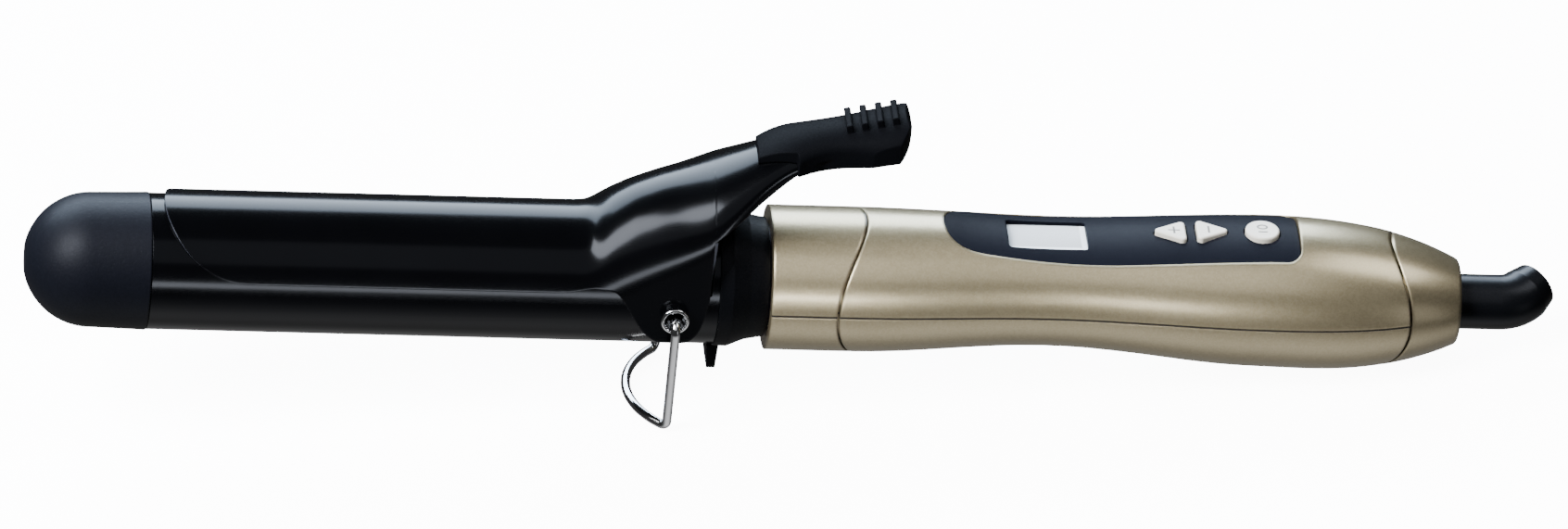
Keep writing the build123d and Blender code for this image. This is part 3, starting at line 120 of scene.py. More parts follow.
# other pieces inside: colour, speckle, roughness, CAD nodes
INNER_BODIES = {
    "ptc_ceramic": ((0.10, 0.085, 0.075), (0.16, 0.14, 0.12), 0.7, ("ptc_stones",)),
    "amber_mica": ((0.42, 0.27, 0.10), (0.55, 0.40, 0.18), 0.35, ("mica_sheets",)),
    "white_sleeving": ((0.72, 0.71, 0.67), (0.62, 0.60, 0.55), 0.6, ("heater_leads",)),
    "red_sleeving": ((0.45, 0.05, 0.04), (0.36, 0.04, 0.03), 0.5, ("sensor_leads",)),
    "blue_sleeving": ((0.05, 0.10, 0.36), (0.04, 0.08, 0.28), 0.5, ("mains_leads",)),
    "sensor_bead": ((0.62, 0.55, 0.38), (0.50, 0.43, 0.28), 0.4, ("temperature_sensor",)),
    "green_board": ((0.025, 0.16, 0.06), (0.035, 0.22, 0.08), 0.35, ("circuit_board",)),
    "black_packages": ((0.02, 0.02, 0.022), (0.05, 0.05, 0.05), 0.45, ("board_components", "tact_switches")),
    "natural_nylon": ((0.62, 0.58, 0.48), (0.56, 0.52, 0.42), 0.5, ("contact_carrier",)),
}


class Softbox(NamedTuple):
    """A light on a dome round the iron."""

    turn: float  # degrees round the iron from its front, to the tip's side below zero
    rise: float  # degrees over the floor
    distance: float  # metres from the point that it faces
    size: tuple  # metres across and up
    power: float  # watts
    colour: tuple = (1.0, 1.0, 1.0)
    lit: str = ""  # collection that it lights; all when empty


# point in the iron that the lights face
LIGHT_AIM = Vector((0.0, 0.0, 0.04))
SOFTBOXES = {
    "back_softbox": Softbox(193.0, 36.5, 1.15, (1.40, 0.68), 40.0, colour=(0.72, 0.85, 1.0)),
    "front_fill": Softbox(-12.0, 50.0, 1.4, (1.6, 1.0), 5.6),
    "front_strip": Softbox(-15.0, -1.0, 0.5, (0.42, 0.05), 2.1, lit="painted_pieces"),
    "barrel_strip": Softbox(0.0, -6.9, 1.3, (1.8, 0.20), 27.0, lit="coated_pieces"),
    "left_softbox": Softbox(-60.0, 46.0, 1.9, (0.8, 1.2), 120.0),
    "right_softbox": Softbox(82.0, 52.0, 1.9, (0.9, 0.9), 12.0),
    "right_fill": Softbox(45.0, -5.0, 1.9, (0.6, 0.9), 1.0),
}


class IronClip(bpy.types.PropertyGroup):
    """Sizes of the spring clip's sheet, the wire and the eyelets."""

    sheet: bpy.props.FloatProperty(
        name="Sheet", description="Thickness of the clip's sheet",
        default=0.0008, min=0.0002, max=0.002, unit="LENGTH")
    soften: bpy.props.FloatProperty(
        name="Fold", description="Length over which the fold between tongue and lever is eased",
        default=0.0015, min=0.0003, max=0.006, unit="LENGTH")
    rim: bpy.props.FloatProperty(
        name="Rim", description="Rounding of the sheet's cut edges",
        default=0.00034, min=0.00002, max=0.0004, unit="LENGTH")
    wire: bpy.props.FloatProperty(
        name="Wire", description="Radius of the stand's wire",
        default=0.0011, min=0.0003, max=0.003, unit="LENGTH")
    petals: bpy.props.IntProperty(
        name="Crimp petals", description="Number of petals that the eyelet's crimp is split into",
        default=6, min=3, max=16)
    crimp: bpy.props.FloatProperty(
        name="Crimp depth",
        description="Depth of the notches between the crimp's petals, as a share of the radius",
        default=0.12, min=0.0, max=0.4)


class IronFinish(bpy.types.PropertyGroup):
    """Colours and sizes of the iron's finishes."""

    paint: bpy.props.FloatVectorProperty(
        name="Handle paint", description="Body colour of the metallic handle paint",
        default=(0.47, 0.408, 0.272), min=0.0, max=1.0, subtype="COLOR")
    paint_shade: bpy.props.FloatVectorProperty(
        name="Flake shade", description="Colour of the flakes that lie turned away",
        default=(0.33, 0.278, 0.168), min=0.0, max=1.0, subtype="COLOR")
    # the dusty line of this setting is painted shade: the parting line's gap darkened in the paint
    seam: bpy.props.FloatProperty(
        name="Parting line", description="Half width of the dusty line along the handle's parting",
        default=0.0003, min=0.00005, max=0.002, unit="LENGTH")
    flake: bpy.props.FloatProperty(
        name="Flake size", description="Width of one metal flake in the paint",
        default=0.00036, min=0.00002, max=0.002, unit="LENGTH")
    enamel: bpy.props.FloatVectorProperty(
        name="Barrel enamel", description="Colour of the black coating on barrel and clip",
        default=(0.0005, 0.00055, 0.00075), min=0.0, max=1.0, subtype="COLOR")
    moulding: bpy.props.FloatVectorProperty(
        name="Cool plastic", description="Colour of the cool tip",
        default=(0.0032, 0.0037, 0.0060), min=0.0, max=1.0, subtype="COLOR")
    collar: bpy.props.FloatVectorProperty(
        name="Collar plastic", description="Colour of the neck collar, thumb pad and elbow",
        default=(0.0020, 0.0022, 0.0029), min=0.0, max=1.0, subtype="COLOR")
    panel: bpy.props.FloatVectorProperty(
        name="Panel plastic", description="Colour of the control panel",
        default=(0.0040, 0.0047, 0.0080), min=0.0, max=1.0, subtype="COLOR")
    window: bpy.props.FloatVectorProperty(
        name="Display", description="Colour of the blank display behind its lens",
        default=(0.60, 0.64, 0.68), min=0.0, max=1.0, subtype="COLOR")
    pearl: bpy.props.FloatVectorProperty(
        name="Buttons", description="Pearl colour of the buttons",
        default=(0.74, 0.72, 0.66), min=0.0, max=1.0, subtype="COLOR")
    mark: bpy.props.FloatVectorProperty(
        name="Button print", description="Colour of the marks printed on the buttons",
        default=(0.22, 0.215, 0.20), min=0.0, max=1.0, subtype="COLOR")
    chrome: bpy.props.FloatVectorProperty(
        name="Bright metal", description="Colour of the plated wire and eyelets",
        default=(0.78, 0.79, 0.81), min=0.0, max=1.0, subtype="COLOR")
    grain: bpy.props.FloatProperty(
        name="Mould grain", description="Width of the grain on the moulded plastic",
        default=0.00042, min=0.0001, max=0.005, unit="LENGTH")


class IronPrint(bpy.types.PropertyGroup):
    """Sizes of the marks printed on the buttons."""

    stroke: bpy.props.FloatProperty(
        name="Stroke", description="Half width of a printed line",
        default=0.00026, min=0.00005, max=0.002, unit="LENGTH")
    height: bpy.props.FloatProperty(
        name="Print height", description="How far the print stands on the button",
        default=0.00004, min=0.000005, max=0.0005, unit="LENGTH")
    sign: bpy.props.FloatProperty(
        name="Sign arm", description="Half length of the plus and minus signs",
        default=0.0014, min=0.0003, max=0.004, unit="LENGTH")
    ring: bpy.props.FloatProperty(
        name="Power sign", description="Half length of the nought and the bar on the round button",
        default=0.0011, min=0.0003, max=0.004, unit="LENGTH")


class IronStage(bpy.types.PropertyGroup):
    """Camera, room light and floor."""

    azimuth: bpy.props.FloatProperty(
        name="Azimuth", description="Camera's turn round the iron, to the tip's side below zero",
        default=math.radians(-4.315), subtype="ANGLE", unit="ROTATION")
    elevation: bpy.props.FloatProperty(
        name="Elevation", description="Camera's height over the floor, as an angle",
        default=math.radians(33.302), subtype="ANGLE", unit="ROTATION")
    roll: bpy.props.FloatProperty(
        name="Roll", description="Camera's turn about its own line of sight",
        default=math.radians(-0.5), subtype="ANGLE", unit="ROTATION")
    distance: bpy.props.FloatProperty(
        name="Distance", description="From the camera to the point that it looks at",
        default=5.0, min=0.2, max=20.0, unit="LENGTH")
    aim_x: bpy.props.FloatProperty(
        name="Aim along", description="Looked-at point along the iron",
        default=-0.001738, unit="LENGTH")
    aim_z: bpy.props.FloatProperty(
        name="Aim height", description="Looked-at point over the floor",
        default=0.033727, unit="LENGTH")
    focal: bpy.props.FloatProperty(
        name="Lens", description="Focal length in millimetres on a 36 mm wide sensor",
        default=489.1, min=10.0, max=1000.0)
    floor: bpy.props.FloatVectorProperty(
        name="Floor", description="Colour of the pale floor",
        default=(0.90, 0.90, 0.90), min=0.0, max=1.0, subtype="COLOR")
    floor_glow: bpy.props.FloatProperty(
        name="Floor glow", description="Strength of the light table under the floor",
        default=12.0, min=0.0, max=40.0)
    sky: bpy.props.FloatProperty(
        name="Room light", description="Strength of the even light over the horizon",
        default=0.04, min=0.0, max=5.0)
    bounce: bpy.props.FloatProperty(
        name="Bounce light", description="Strength of the light from below the horizon",
        default=1.15, min=0.0, max=5.0)


class Wire:
    """A shader value that takes part in Python arithmetic; each operation adds a Math node."""

    def __init__(self, finish, socket):
        self.finish = finish
        self.socket = socket

    def op(self, name, first, second):
        return self.finish.node("ShaderNodeMath", {"operation": name}, {0: first, 1: second})

    def __add__(self, other):
        return self.op("ADD", self, other)

    __radd__ = __add__

    def __sub__(self, other):
        return self.op("SUBTRACT", self, other)

    def __rsub__(self, other):
        return self.op("SUBTRACT", other, self)

    def __mul__(self, other):
        return self.op("MULTIPLY", self, other)

    __rmul__ = __mul__


class Finish:
    """One material: a Principled surface and the nodes that feed it."""

    def __init__(self, name):
        self.material = bpy.data.materials.new(name)
        self.material.use_nodes = True
        self.tree = self.material.node_tree
        self.tree.nodes.clear()
        output = self.tree.nodes.new("ShaderNodeOutputMaterial")
        self.surface = self.tree.nodes.new("ShaderNodeBsdfPrincipled")
        self.tree.links.new(self.surface.outputs[0], output.inputs["Surface"])
        self.place = self.node("ShaderNodeTexCoord", {}, {}, "Object")

    def feed(self, socket, value):
        """Links a Wire to a socket, or sets the socket's own value."""
        if isinstance(value, Wire):
            self.tree.links.new(value.socket, socket)
        elif hasattr(value, "__len__") and len(value) == 3 and len(socket.default_value) == 4:
            socket.default_value = (*value, 1.0)
        else:
            socket.default_value = value

    def node(self, kind, settings, sockets, out=0):
        """A node of that kind: its settings first, then its sockets' values or links."""
        made = self.tree.nodes.new(kind)
        for key, value in settings.items():
            setattr(made, key, value)
        for key, value in sockets.items():
            self.feed(made.inputs[key], value)
        return Wire(self, made.outputs[out])

    def noise(self, width, detail=2.0, roughness=0.5, stretch=(1.0, 1.0, 1.0)):
        """Cloudy value from 0 to 1 whose blobs are about that wide, in metres."""
        place = self.place
        if stretch != (1.0, 1.0, 1.0):
            place = self.node("ShaderNodeMapping", {}, {"Vector": place, "Scale": stretch})
        sockets = {"Vector": place, "Scale": 1.0 / width, "Detail": detail, "Roughness": roughness}
        return self.node("ShaderNodeTexNoise", {}, sockets, "Fac")

    def cells(self, width):
        """A random value from 0 to 1 for each grain of that width, in metres."""
        colour = self.node("ShaderNodeTexVoronoi", {}, {"Vector": self.place, "Scale": 1.0 / width}, "Color")
        return self.node("ShaderNodeSeparateColor", {}, {"Color": colour}, "Red")

    def mix(self, share, first, second):
        """Colour that goes from first to second with share."""
        return self.node("ShaderNodeMix", {"data_type": "RGBA"}, {0: share, 6: first, 7: second}, 2)

    def step(self, value, width):
        """Share that goes from 0 to 1 as a length grows past zero, over that width."""
        sockets = {"Value": value, "From Min": -width, "From Max": width}
        return self.node("ShaderNodeMapRange", {"interpolation_type": "SMOOTHSTEP"}, sockets)

    def round_edges(self, radius):
        """Normal that rounds the edges of the solid by that radius."""
        return self.node("ShaderNodeBevel", {"samples": 6}, {"Radius": radius})

    def bump(self, height, strength, depth, normal=None):
        """Normal that follows a height from 0 to 1, as deep as depth in metres."""
        sockets = {"Height": height, "Strength": strength, "Distance": depth}
        if normal is not None:
            sockets["Normal"] = normal
        return self.node("ShaderNodeBump", {}, sockets)

    def set(self, values):
        """Sets or links the sockets of the Principled surface."""
        for key, value in values.items():
            self.feed(self.surface.inputs[key], value)
        return self.material


class Backdrop(Finish):
    """The room's light: a Background surface and the nodes that feed it from the direction looked in."""

    def __init__(self, world):
        world.use_nodes = True
        self.tree = world.node_tree
        self.surface = self.tree.nodes["Background"]
        self.place = self.node("ShaderNodeTexCoord", {}, {}, "Generated")


def dress(material, *nodes):
    """Gives CAD nodes a material in all their slots."""
    for name in nodes:
        mesh = frame["nodes"][name].data
        mesh.materials.clear()
        mesh.materials.append(material)


def scaled(colour, share):
    """A colour made darker or paler by a share."""
    return tuple(c * share for c in colour)


def flake_paint(name, colour, shade, flake, seam):
    """Metallic paint: flakes of random tone, a faint cloud, a clear coat and painted shade darkening the
    parting line.
    """
    f = Finish(name)
    grain = f.cells(flake)
    cloud = f.noise(width=0.018, detail=3.0)
    share = grain * 0.34 + cloud * 0.35 + 0.16
    edge = f.round_edges(radius=0.0009)
    upward = {0: f.place, 1: tuple(TURN[2])}
    height = f.node("ShaderNodeVectorMath", {"operation": "DOT_PRODUCT"}, upward, "Value")
    off = f.node("ShaderNodeMath", {"operation": "ABSOLUTE"}, {0: height - PIVOT[2] - AXIS_RISE * MM})
    # painted shade: within seam of the parting plane the paint turns dark, matte and less metallic, for the
    # shaded gap between the shells
    painted_seam_shade = f.step(seam - off, width=0.00008)
    ripple = f.noise(width=0.0011, detail=3.0)
    return f.set({
        "Base Color": f.mix(painted_seam_shade, f.mix(share, shade, colour), SEAM_SHADE),
        "Roughness": 0.29 + 0.04 * grain + 0.3 * painted_seam_shade,
        "Metallic": 0.88 - 0.75 * painted_seam_shade,
        "Coat Weight": 0.35 - 0.35 * painted_seam_shade,
        "Coat Roughness": 0.16,
        "Normal": f.bump(ripple, strength=0.04, depth=0.00005, normal=edge),
    })


def gloss_enamel(name, colour, tint=(0.14, 0.15, 0.17), haziness=0.13):
    """Hard gloss coating: deep black, faint drag lines along the barrel and slight haze."""
    f = Finish(name)
    drag = f.noise(width=0.0011, detail=3.0, roughness=0.6, stretch=(0.06, 1.0, 1.0))
    haze = f.noise(width=0.022, detail=4.0, roughness=0.55)
    return f.set({
        "Base Color": f.mix(haze, colour, scaled(colour, 1.9)),
        "Roughness": haziness + 0.05 * haze + 0.03 * drag,
        "Specular Tint": tint,
        "Normal": f.bump(drag, strength=0.03, depth=0.00008, normal=f.round_edges(radius=0.00025)),
    })


def grained_plastic(name, colour, grain, roughness, shine, depth=0.00006, edge=0.0004):
    """Moulded plastic with a spark-etched grain and a little rub shine."""
    f = Finish(name)
    pit = f.noise(grain, detail=3.0, roughness=0.6)
    cell = f.cells(grain * 0.8)
    rub = f.noise(width=0.012, detail=3.0)
    return f.set({
        "Base Color": f.mix(0.65 * rub + 0.35 * cell, colour, scaled(colour, 1.45)),
        "Roughness": roughness - 0.09 * rub + 0.10 * pit,
        "Specular IOR Level": 0.5 * shine,
        "Specular Tint": (0.46, 0.48, 0.54),
        "Normal": f.bump(pit * 0.75 + cell * 0.25, strength=0.45, depth=depth, normal=f.round_edges(edge)),
    })


def plated(name, colour, roughness):
    """Bright plated metal with fine drawing lines and faint spots."""
    f = Finish(name)
    line = f.noise(width=0.0006, detail=3.0, roughness=0.6)
    spot = f.noise(width=0.004)
    return f.set({
        "Base Color": f.mix(spot, scaled(colour, 0.82), colour),
        "Roughness": roughness + 0.05 * line + 0.03 * spot,
        "Metallic": 1.0,
        "Normal": f.bump(line, strength=0.06, depth=0.00002),
    })


def clear_display(name, colour, centre, half):
    """Blank display under a lens: silver grey, painted shade towards the near side, pale strips of painted
    highlight near and behind, a black band of painted shadow on the far side.
    """
    rear_highlight_width, near_highlight_width, far_shadow_width = 0.0013, 0.0016, 0.0006
    f = Finish(name)
    dots = f.cells(width=0.00022)
    cloud = f.noise(width=0.009)
    x, y, z = (f.node("ShaderNodeSeparateXYZ", {}, {"Vector": f.place}, axis) for axis in "XYZ")
    along = x * TURN[0, 0] + z * TURN[0, 2] - (centre[0] + half[0] - rear_highlight_width)
    across = -(half[1] - near_highlight_width) - y
    outer = f.node("ShaderNodeMath", {"operation": "MAXIMUM"}, {0: along, 1: across})
    # painted shade: the near side of the display is darker, on top of the random cloud and dots
    shade = 0.25 * cloud + 0.1 * dots + 0.6 * f.step(-0.0008 - y, width=0.004)
    body = f.mix(shade, colour, scaled(colour, 0.66))
    # painted highlight: pale strips along the display's near and rear edges
    pale = tuple(min(1.0, c) for c in scaled(colour, 1.4))
    shown = f.mix(f.step(outer, width=0.00015), body, pale)
    # painted shadow of the recess's far wall: a black band along the far side
    painted_far_shadow = f.step(y - (half[1] - far_shadow_width), width=0.00012)
    return f.set({
        "Base Color": f.mix(painted_far_shadow, shown, FAR_WALL_SHADOW),
        "Roughness": 0.30 + 0.06 * dots,
        "Specular IOR Level": 0.12,
        "Coat Weight": 0.08,
        "Coat Roughness": 0.03,
        "Normal": f.bump(cloud, strength=0.02, depth=0.00004),
    })


def pearl_plastic(name, colour):
    """Pearl plastic: fine mica flakes in an ivory body, with a soft gloss."""
    f = Finish(name)
    flake = f.cells(width=0.00012)
    cloud = f.noise(width=0.004)
    warm = (colour[0] * 0.9, colour[1] * 0.87, colour[2] * 0.80)
    return f.set({
        "Base Color": f.mix(0.5 * flake + 0.5 * cloud, warm, colour),
        "Roughness": 0.30 + 0.08 * flake,
        "Coat Weight": 0.3,
        "Coat Roughness": 0.15,
        "Normal": f.bump(flake, strength=0.04, depth=0.00003, normal=f.round_edges(radius=0.0002)),
    })


def worked_metal(name, colour, roughness):
    """Plain sheet or cast metal with rolling lines."""
    f = Finish(name)
    line = f.noise(width=0.0009, detail=4.0, roughness=0.6, stretch=(0.1, 1.0, 1.0))
    stain = f.noise(width=0.008, detail=3.0)
    return f.set({
        "Base Color": f.mix(0.5 * line + 0.5 * stain, scaled(colour, 0.72), colour),
        "Roughness": roughness + 0.12 * line,
        "Metallic": 1.0,
        "Normal": f.bump(line, strength=0.12, depth=0.00004),
    })


def plain_body(name, colour, speckle, roughness):
    """Ceramic, board or wire cover: one colour with a speckle of a second."""
    f = Finish(name)
    fleck = f.cells(width=0.0006)
    cloud = f.noise(width=0.004, detail=3.0)
    return f.set({
        "Base Color": f.mix(0.6 * fleck + 0.4 * cloud, colour, speckle),
        "Roughness": roughness + 0.10 * cloud,
        "Normal": f.bump(cloud, strength=0.15, depth=0.00006),
    })


def aligned(name):
    """A CAD node's points, turned so that x runs along the barrel and z to the clip."""
    mesh = frame["nodes"][name].data
    flat = np.empty(len(mesh.vertices) * 3, np.float32)
    mesh.vertices.foreach_get("co", flat)
    return flat.reshape(-1, 3).astype(float) @ TURN.T


def printed_line(path, half_width, height, floor):
    """Raised print: a low trapezoid profile carried along a flat path, drawn shut to a point at both ends.

    The path is an N by 2 array on the button's top. At each point the profile's four corners lie at
    -1, -0.8, 0.8 and 1 half widths across the path and at 0, 1, 1 and 0 times the height over the
    floor. One more row at each end is drawn in to the path, so the strip is closed.
    """
    along = np.gradient(path, axis=0)
    along /= np.linalg.norm(along, axis=1)[:, None]
    across = np.stack([-along[:, 1], along[:, 0]], 1)
    side = np.array([-1.0, -0.8, 0.8, 1.0]) * half_width
    rise = np.array([0.0, 1.0, 1.0, 0.0]) * height
    flat = path[:, None, :] + across[:, None, :] * side[None, :, None]
    strip = np.concatenate([flat, np.broadcast_to(rise[None, :, None], flat.shape[:2] + (1,))], 2)
    strip[:, :, 2] += floor
    ends = np.repeat(path[[0, -1]][:, None, :], 4, 1)
    ends = np.concatenate([ends, np.full(ends.shape[:2] + (1,), floor)], 2)
    return np.concatenate([ends[:1], strip, ends[1:]], 0)


def strip_faces(rows, columns, start=0):
    """Quads of a closed strip: each row's corners joined to the next row's, round the profile."""
    index = np.arange(rows * columns).reshape(rows, columns) + start
    turn = np.roll(index, -1, 1)
    quads = np.stack([index[:-1], index[1:], turn[1:], turn[:-1]], -1)
    return quads.reshape(-1, 4)


def mesh_object(name, points, faces):
    """A mesh object at the origin, in the scene, from row-frame points and faces."""
    mesh = bpy.data.meshes.new(name)
    mesh.from_pydata(points.tolist(), [], faces.tolist())
    mesh.update()
    made = bpy.data.objects.new(name, mesh)
    bpy.context.scene.collection.objects.link(made)
    return made


def mesh_piece(name, points, faces, material, body, slot):
    """A smooth mesh object with a material; it rides a body, if one is given. The slot is not used."""
    piece = mesh_object(name, points, faces)
    piece.data.shade_smooth()
    piece.data.materials.append(material)
    if body:
        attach(piece, body)
    return piece


def outward(points, faces):
    """Faces of a closed mesh, turned over if the volume that they enclose comes out negative."""
    first, second, third, fourth = (points[faces[:, k]] for k in range(4))
    volume = (first * np.cross(second, third)).sum() + (first * np.cross(third, fourth)).sum()
    return faces if volume > 0 else faces[:, ::-1]


def eased(x, places, values, width):
    """Values joined by straight lines over their places, then averaged under a bell of that width."""
    parts = 12
    reach = 4 * parts
    pitch = width / parts
    margin = 6 * width
    fine = np.arange(places[0] - margin, places[-1] + margin, pitch)
    bell = np.exp(-0.5 * (np.arange(-reach, reach + 1) * pitch / width) ** 2)
    line = np.interp(fine, places, values)
    padded = np.pad(line, reach, mode="edge")
    return np.interp(x, fine, np.convolve(padded, bell / bell.sum(), mode="valid"))


def clip_surface(sizes):
    """Outer face of the clip, as rows along the barrel and columns from the near edge over the crown.

    At each place the section is half an ellipse, as wide as the half width and as high as crown minus
    spring line, carried down by straight walls. The column parameter runs along that curve from the crown,
    0, to either lower edge, 1, first as the ellipse's angle and then as the drop below the spring line. The
    rounded nose is a quarter ellipse on the unrolled sheet, which shortens the angle towards the front.
    """
    front, rear = CLIP_SECTIONS[[0, -1], 0]
    swing = np.linspace(0.025, 1.0, 40) * math.pi / 2
    # rows crowd on the nose, over the fold and at the ears' rear
    x = np.concatenate([
        front + NOSE_LENGTH * (1 - np.cos(swing)),
        np.linspace(front + NOSE_LENGTH + 3, -25, 22),
        np.arange(-24, EAR_REAR - 0.4, 0.4),
        EAR_REAR + np.array([-0.3, -0.15, -0.05, 0.0, 0.03, 0.3]),
        np.arange(EAR_REAR + 0.8, rear, 0.6),
        [rear],
    ])
    width = sizes.soften / MM
    half, spring, crown = (eased(x, CLIP_SECTIONS[:, 0], CLIP_SECTIONS[:, k], width) for k in (1, 2, 3))
    tongue = eased(x, TONGUE_EDGE[:, 0], TONGUE_EDGE[:, 1], 0.6 * width)
    edge = np.where(x <= EAR_REAR, tongue, np.interp(x, LEVER_EDGE[:, 0], LEVER_EDGE[:, 1]))
    rise = crown - spring
    angle = np.arccos(np.clip((edge - spring) / rise, 0.0, 1.0))
    into = np.clip((front + NOSE_LENGTH - x) / NOSE_LENGTH, 0.0, 1.0)
    angle = angle * np.sqrt(1 - into**2)
    drop = np.maximum(spring - edge, 0.0)
    mean = (half + rise) / 2
    share = np.linspace(-1.0, 1.0, 101)
    run = np.abs(share)[None, :] * (mean * angle + drop)[:, None]
    turn = np.minimum(run / mean[:, None], angle[:, None])
    fall = np.maximum(run - (mean * angle)[:, None], 0.0)
    y = np.sign(share)[None, :] * half[:, None] * np.sin(turn)
    z = spring[:, None] + rise[:, None] * np.cos(turn) - fall
    return np.stack([np.broadcast_to(x[:, None], y.shape), y, z], -1)


def sheet_faces(rows, columns):
    """Quads of an open grid, whose normal is the row direction crossed with the column direction."""
    index = np.arange(rows * columns).reshape(rows, columns)
    return np.stack([index[:-1, :-1], index[1:, :-1], index[1:, 1:], index[:-1, 1:]], -1).reshape(-1, 4)


def from_pivot(points, lift=0.0):
    """Row-frame metres of points in mm that are measured from the pivot along the barrel, across and up."""
    placed = points * MM
    placed[:, 2] += lift * MM
    return (placed + PIVOT) @ TURN


def closed_piece(rings, lift=0.0):
    """Points and outward faces of a strip of rings, which are in mm from the pivot."""
    points = from_pivot(rings.reshape(-1, 3), lift)
    return points, outward(points, strip_faces(*rings.shape[:2]))


def bend(corner, before, after, reach, steps=14):
    """Round bend at a corner: the conic from reach before it to reach after it, weighted to be a circle."""
    t = np.linspace(0.0, 1.0, steps)[:, None]
    weight = math.cos(math.acos(float(np.clip(before @ after, -1, 1))) / 2)
    low, mid, high = (1 - t) ** 2, 2 * weight * t * (1 - t), t**2
    curve = low * (corner - before * reach) + mid * corner + high * (corner + after * reach)
    return curve / (low + mid + high)


def stand_path():
    """Middle line of the wire, in mm from the pivot: out of the eyelet, down the leg, round the foot."""
    inside = np.array([0.0, -12.4, 0.0])
    hook = np.array([0.0, -22.0, 0.0])
    corner = np.array([0.527, -17.0, -30.8])
    hook_reach, corner_reach = 2.2, 1.789
    arc_radius, arc_x, arc_y = 21.3, -0.8, 15.8
    out = np.array([0.0, -1.0, 0.0])
    leg = (corner - hook) / np.linalg.norm(corner - hook)
    first = math.asin(arc_y / arc_radius)
    middle = arc_x + arc_radius * math.cos(first)
    foot = np.array([-math.sin(first), math.cos(first), 0.0])
    swing = np.linspace(-first, 0.0, 40)[1:]
    low = np.full_like(swing, corner[2])
    arc = np.stack([middle - arc_radius * np.cos(swing), arc_radius * np.sin(swing), low], 1)
    near = np.concatenate([
        [inside], bend(hook, out, leg, hook_reach), bend(corner, leg, foot, corner_reach), arc,
    ])
    far = near[-2::-1] * np.array([1.0, -1.0, 1.0])
    return np.concatenate([near, far])


def tube(path, radius, around=28):
    """Round tube: circles of that radius square to the path, drawn shut on its middle line at both ends."""
    along = np.gradient(path, axis=0)
    along /= np.linalg.norm(along, axis=1)[:, None]
    side = np.cross(along, np.array([0.7, 0.0, 0.7]))
    side /= np.linalg.norm(side, axis=1)[:, None]
    other = np.cross(along, side)
    angle = np.linspace(0.0, 2 * math.pi, around, endpoint=False)[None, :, None]
    rings = path[:, None, :] + radius * (side[:, None, :] * np.cos(angle) - other[:, None, :] * np.sin(angle))
    shut = np.repeat(path[[0, -1]][:, None, :], around, 1)
    return np.concatenate([shut[:1], rings, shut[1:]], 0)


def leaf_path():
    """Middle line of the leaf spring, in mm from the pivot and the barrel's axis: lever, leg, foot."""
    end, upper, lower, toe = LEAF_CORNERS
    upper_reach, lower_reach = 0.7, 1.1
    steps = np.diff(LEAF_CORNERS, axis=0)
    ways = steps / np.linalg.norm(steps, axis=1)[:, None]
    shares = np.linspace(0.0, 1.0, 26)[1:-1, None]
    leg_start, leg_end = upper + ways[1] * upper_reach, lower - ways[1] * lower_reach
    return np.concatenate([
        [end], bend(upper, ways[0], ways[1], upper_reach), leg_start + (leg_end - leg_start) * shares,
        bend(lower, ways[1], ways[2], lower_reach), [toe],
    ])


def ribbon(path, half_thick, half_wide, around=40):
    """Flat strip along a path in the middle plane: superellipses square to it, drawn shut at both ends.

    A superellipse is the curve whose two half widths are each scaled by a quarter power of cosine and sine.
    """
    along = np.gradient(path, axis=0)
    along /= np.linalg.norm(along, axis=1)[:, None]
    face = np.stack([-along[:, 2], np.zeros(len(path)), along[:, 0]], 1)
    angle = np.linspace(0.0, 2 * math.pi, around, endpoint=False)
    thick = half_thick * np.sign(np.cos(angle)) * np.abs(np.cos(angle)) ** 0.25
    wide = half_wide * np.sign(np.sin(angle)) * np.abs(np.sin(angle)) ** 0.25
    rings = path[:, None, :] + face[:, None, :] * thick[None, :, None]
    rings = rings + np.array([0.0, 1.0, 0.0]) * wide[None, :, None]
    shut = np.repeat(path[[0, -1]][:, None, :], around, 1)
    return np.concatenate([shut[:1], rings, shut[1:]], 0)


def eyelet(petals, crimp, side, around=96):
    """Hollow eyelet turned about the pivot: neck, rounded flange and a crimp that is split into petals.

    The profile gives radius and distance from the middle plane, in mm, and how much of the crimp is felt.
    There the radius is shortened by crimp times a wave with one trough for each petal.
    """
    rim = np.linspace(-0.5, 0.5, 11) * math.pi
    neck = [(0.0, 10.7, 0.0), (2.1, 10.7, 0.0), (2.1, 17.2, 0.0), (2.7, 17.25, 0.0), (2.7, 18.65, 0.0)]
    flange = np.stack([3.0 + 0.36 * np.cos(rim), 19.1 + 0.40 * np.sin(rim), np.zeros_like(rim)], 1)
    roll = [
        (2.8, 19.56, 0.0), (2.62, 19.5, 0.25), (2.5, 19.3, 0.8), (2.4, 18.9, 1.0), (2.2, 18.2, 1.0),
        (1.85, 17.3, 0.5),
    ]
    bore = [(1.5, 16.6, 0.0), (1.19, 16.2, 0.0), (1.19, 12.3, 0.0), (0.0, 12.3, 0.0)]
    profile = np.concatenate([neck, flange, roll, bore])
    angle = np.linspace(0.0, 2 * math.pi, around, endpoint=False)
    notch = 1 + crimp * profile[:, 2:] * (np.abs(np.cos(petals * angle / 2))[None, :] ** 0.5 - 0.5)
    radius = profile[:, :1] * notch
    y = np.broadcast_to(side * profile[:, 1:2], radius.shape)
    return np.stack([radius * np.cos(angle), y, radius * np.sin(angle)], -1)


def printed_mark(name, node, body, lines, material, sizes):
    """One printed mark: each line of the sign laid on the flat top of a button, about its middle."""
    flat = 1e-5
    sunk_share = 0.25
    spots = aligned(node)
    top = spots[:, 2].max()
    middle = spots[spots[:, 2] > top - flat].mean(0)[:2]
    points, faces, start = [], [], 0
    for line in lines:
        strip = printed_line(line + middle, sizes.stroke, sizes.height, top - sizes.height * sunk_share)
        faces.append(strip_faces(*strip.shape[:2], start))
        points.append(strip.reshape(-1, 3))
        start += len(points[-1])
    placed = np.concatenate(points) @ TURN
    return mesh_piece(name, placed, np.concatenate(faces), material, body, "key_pearl")


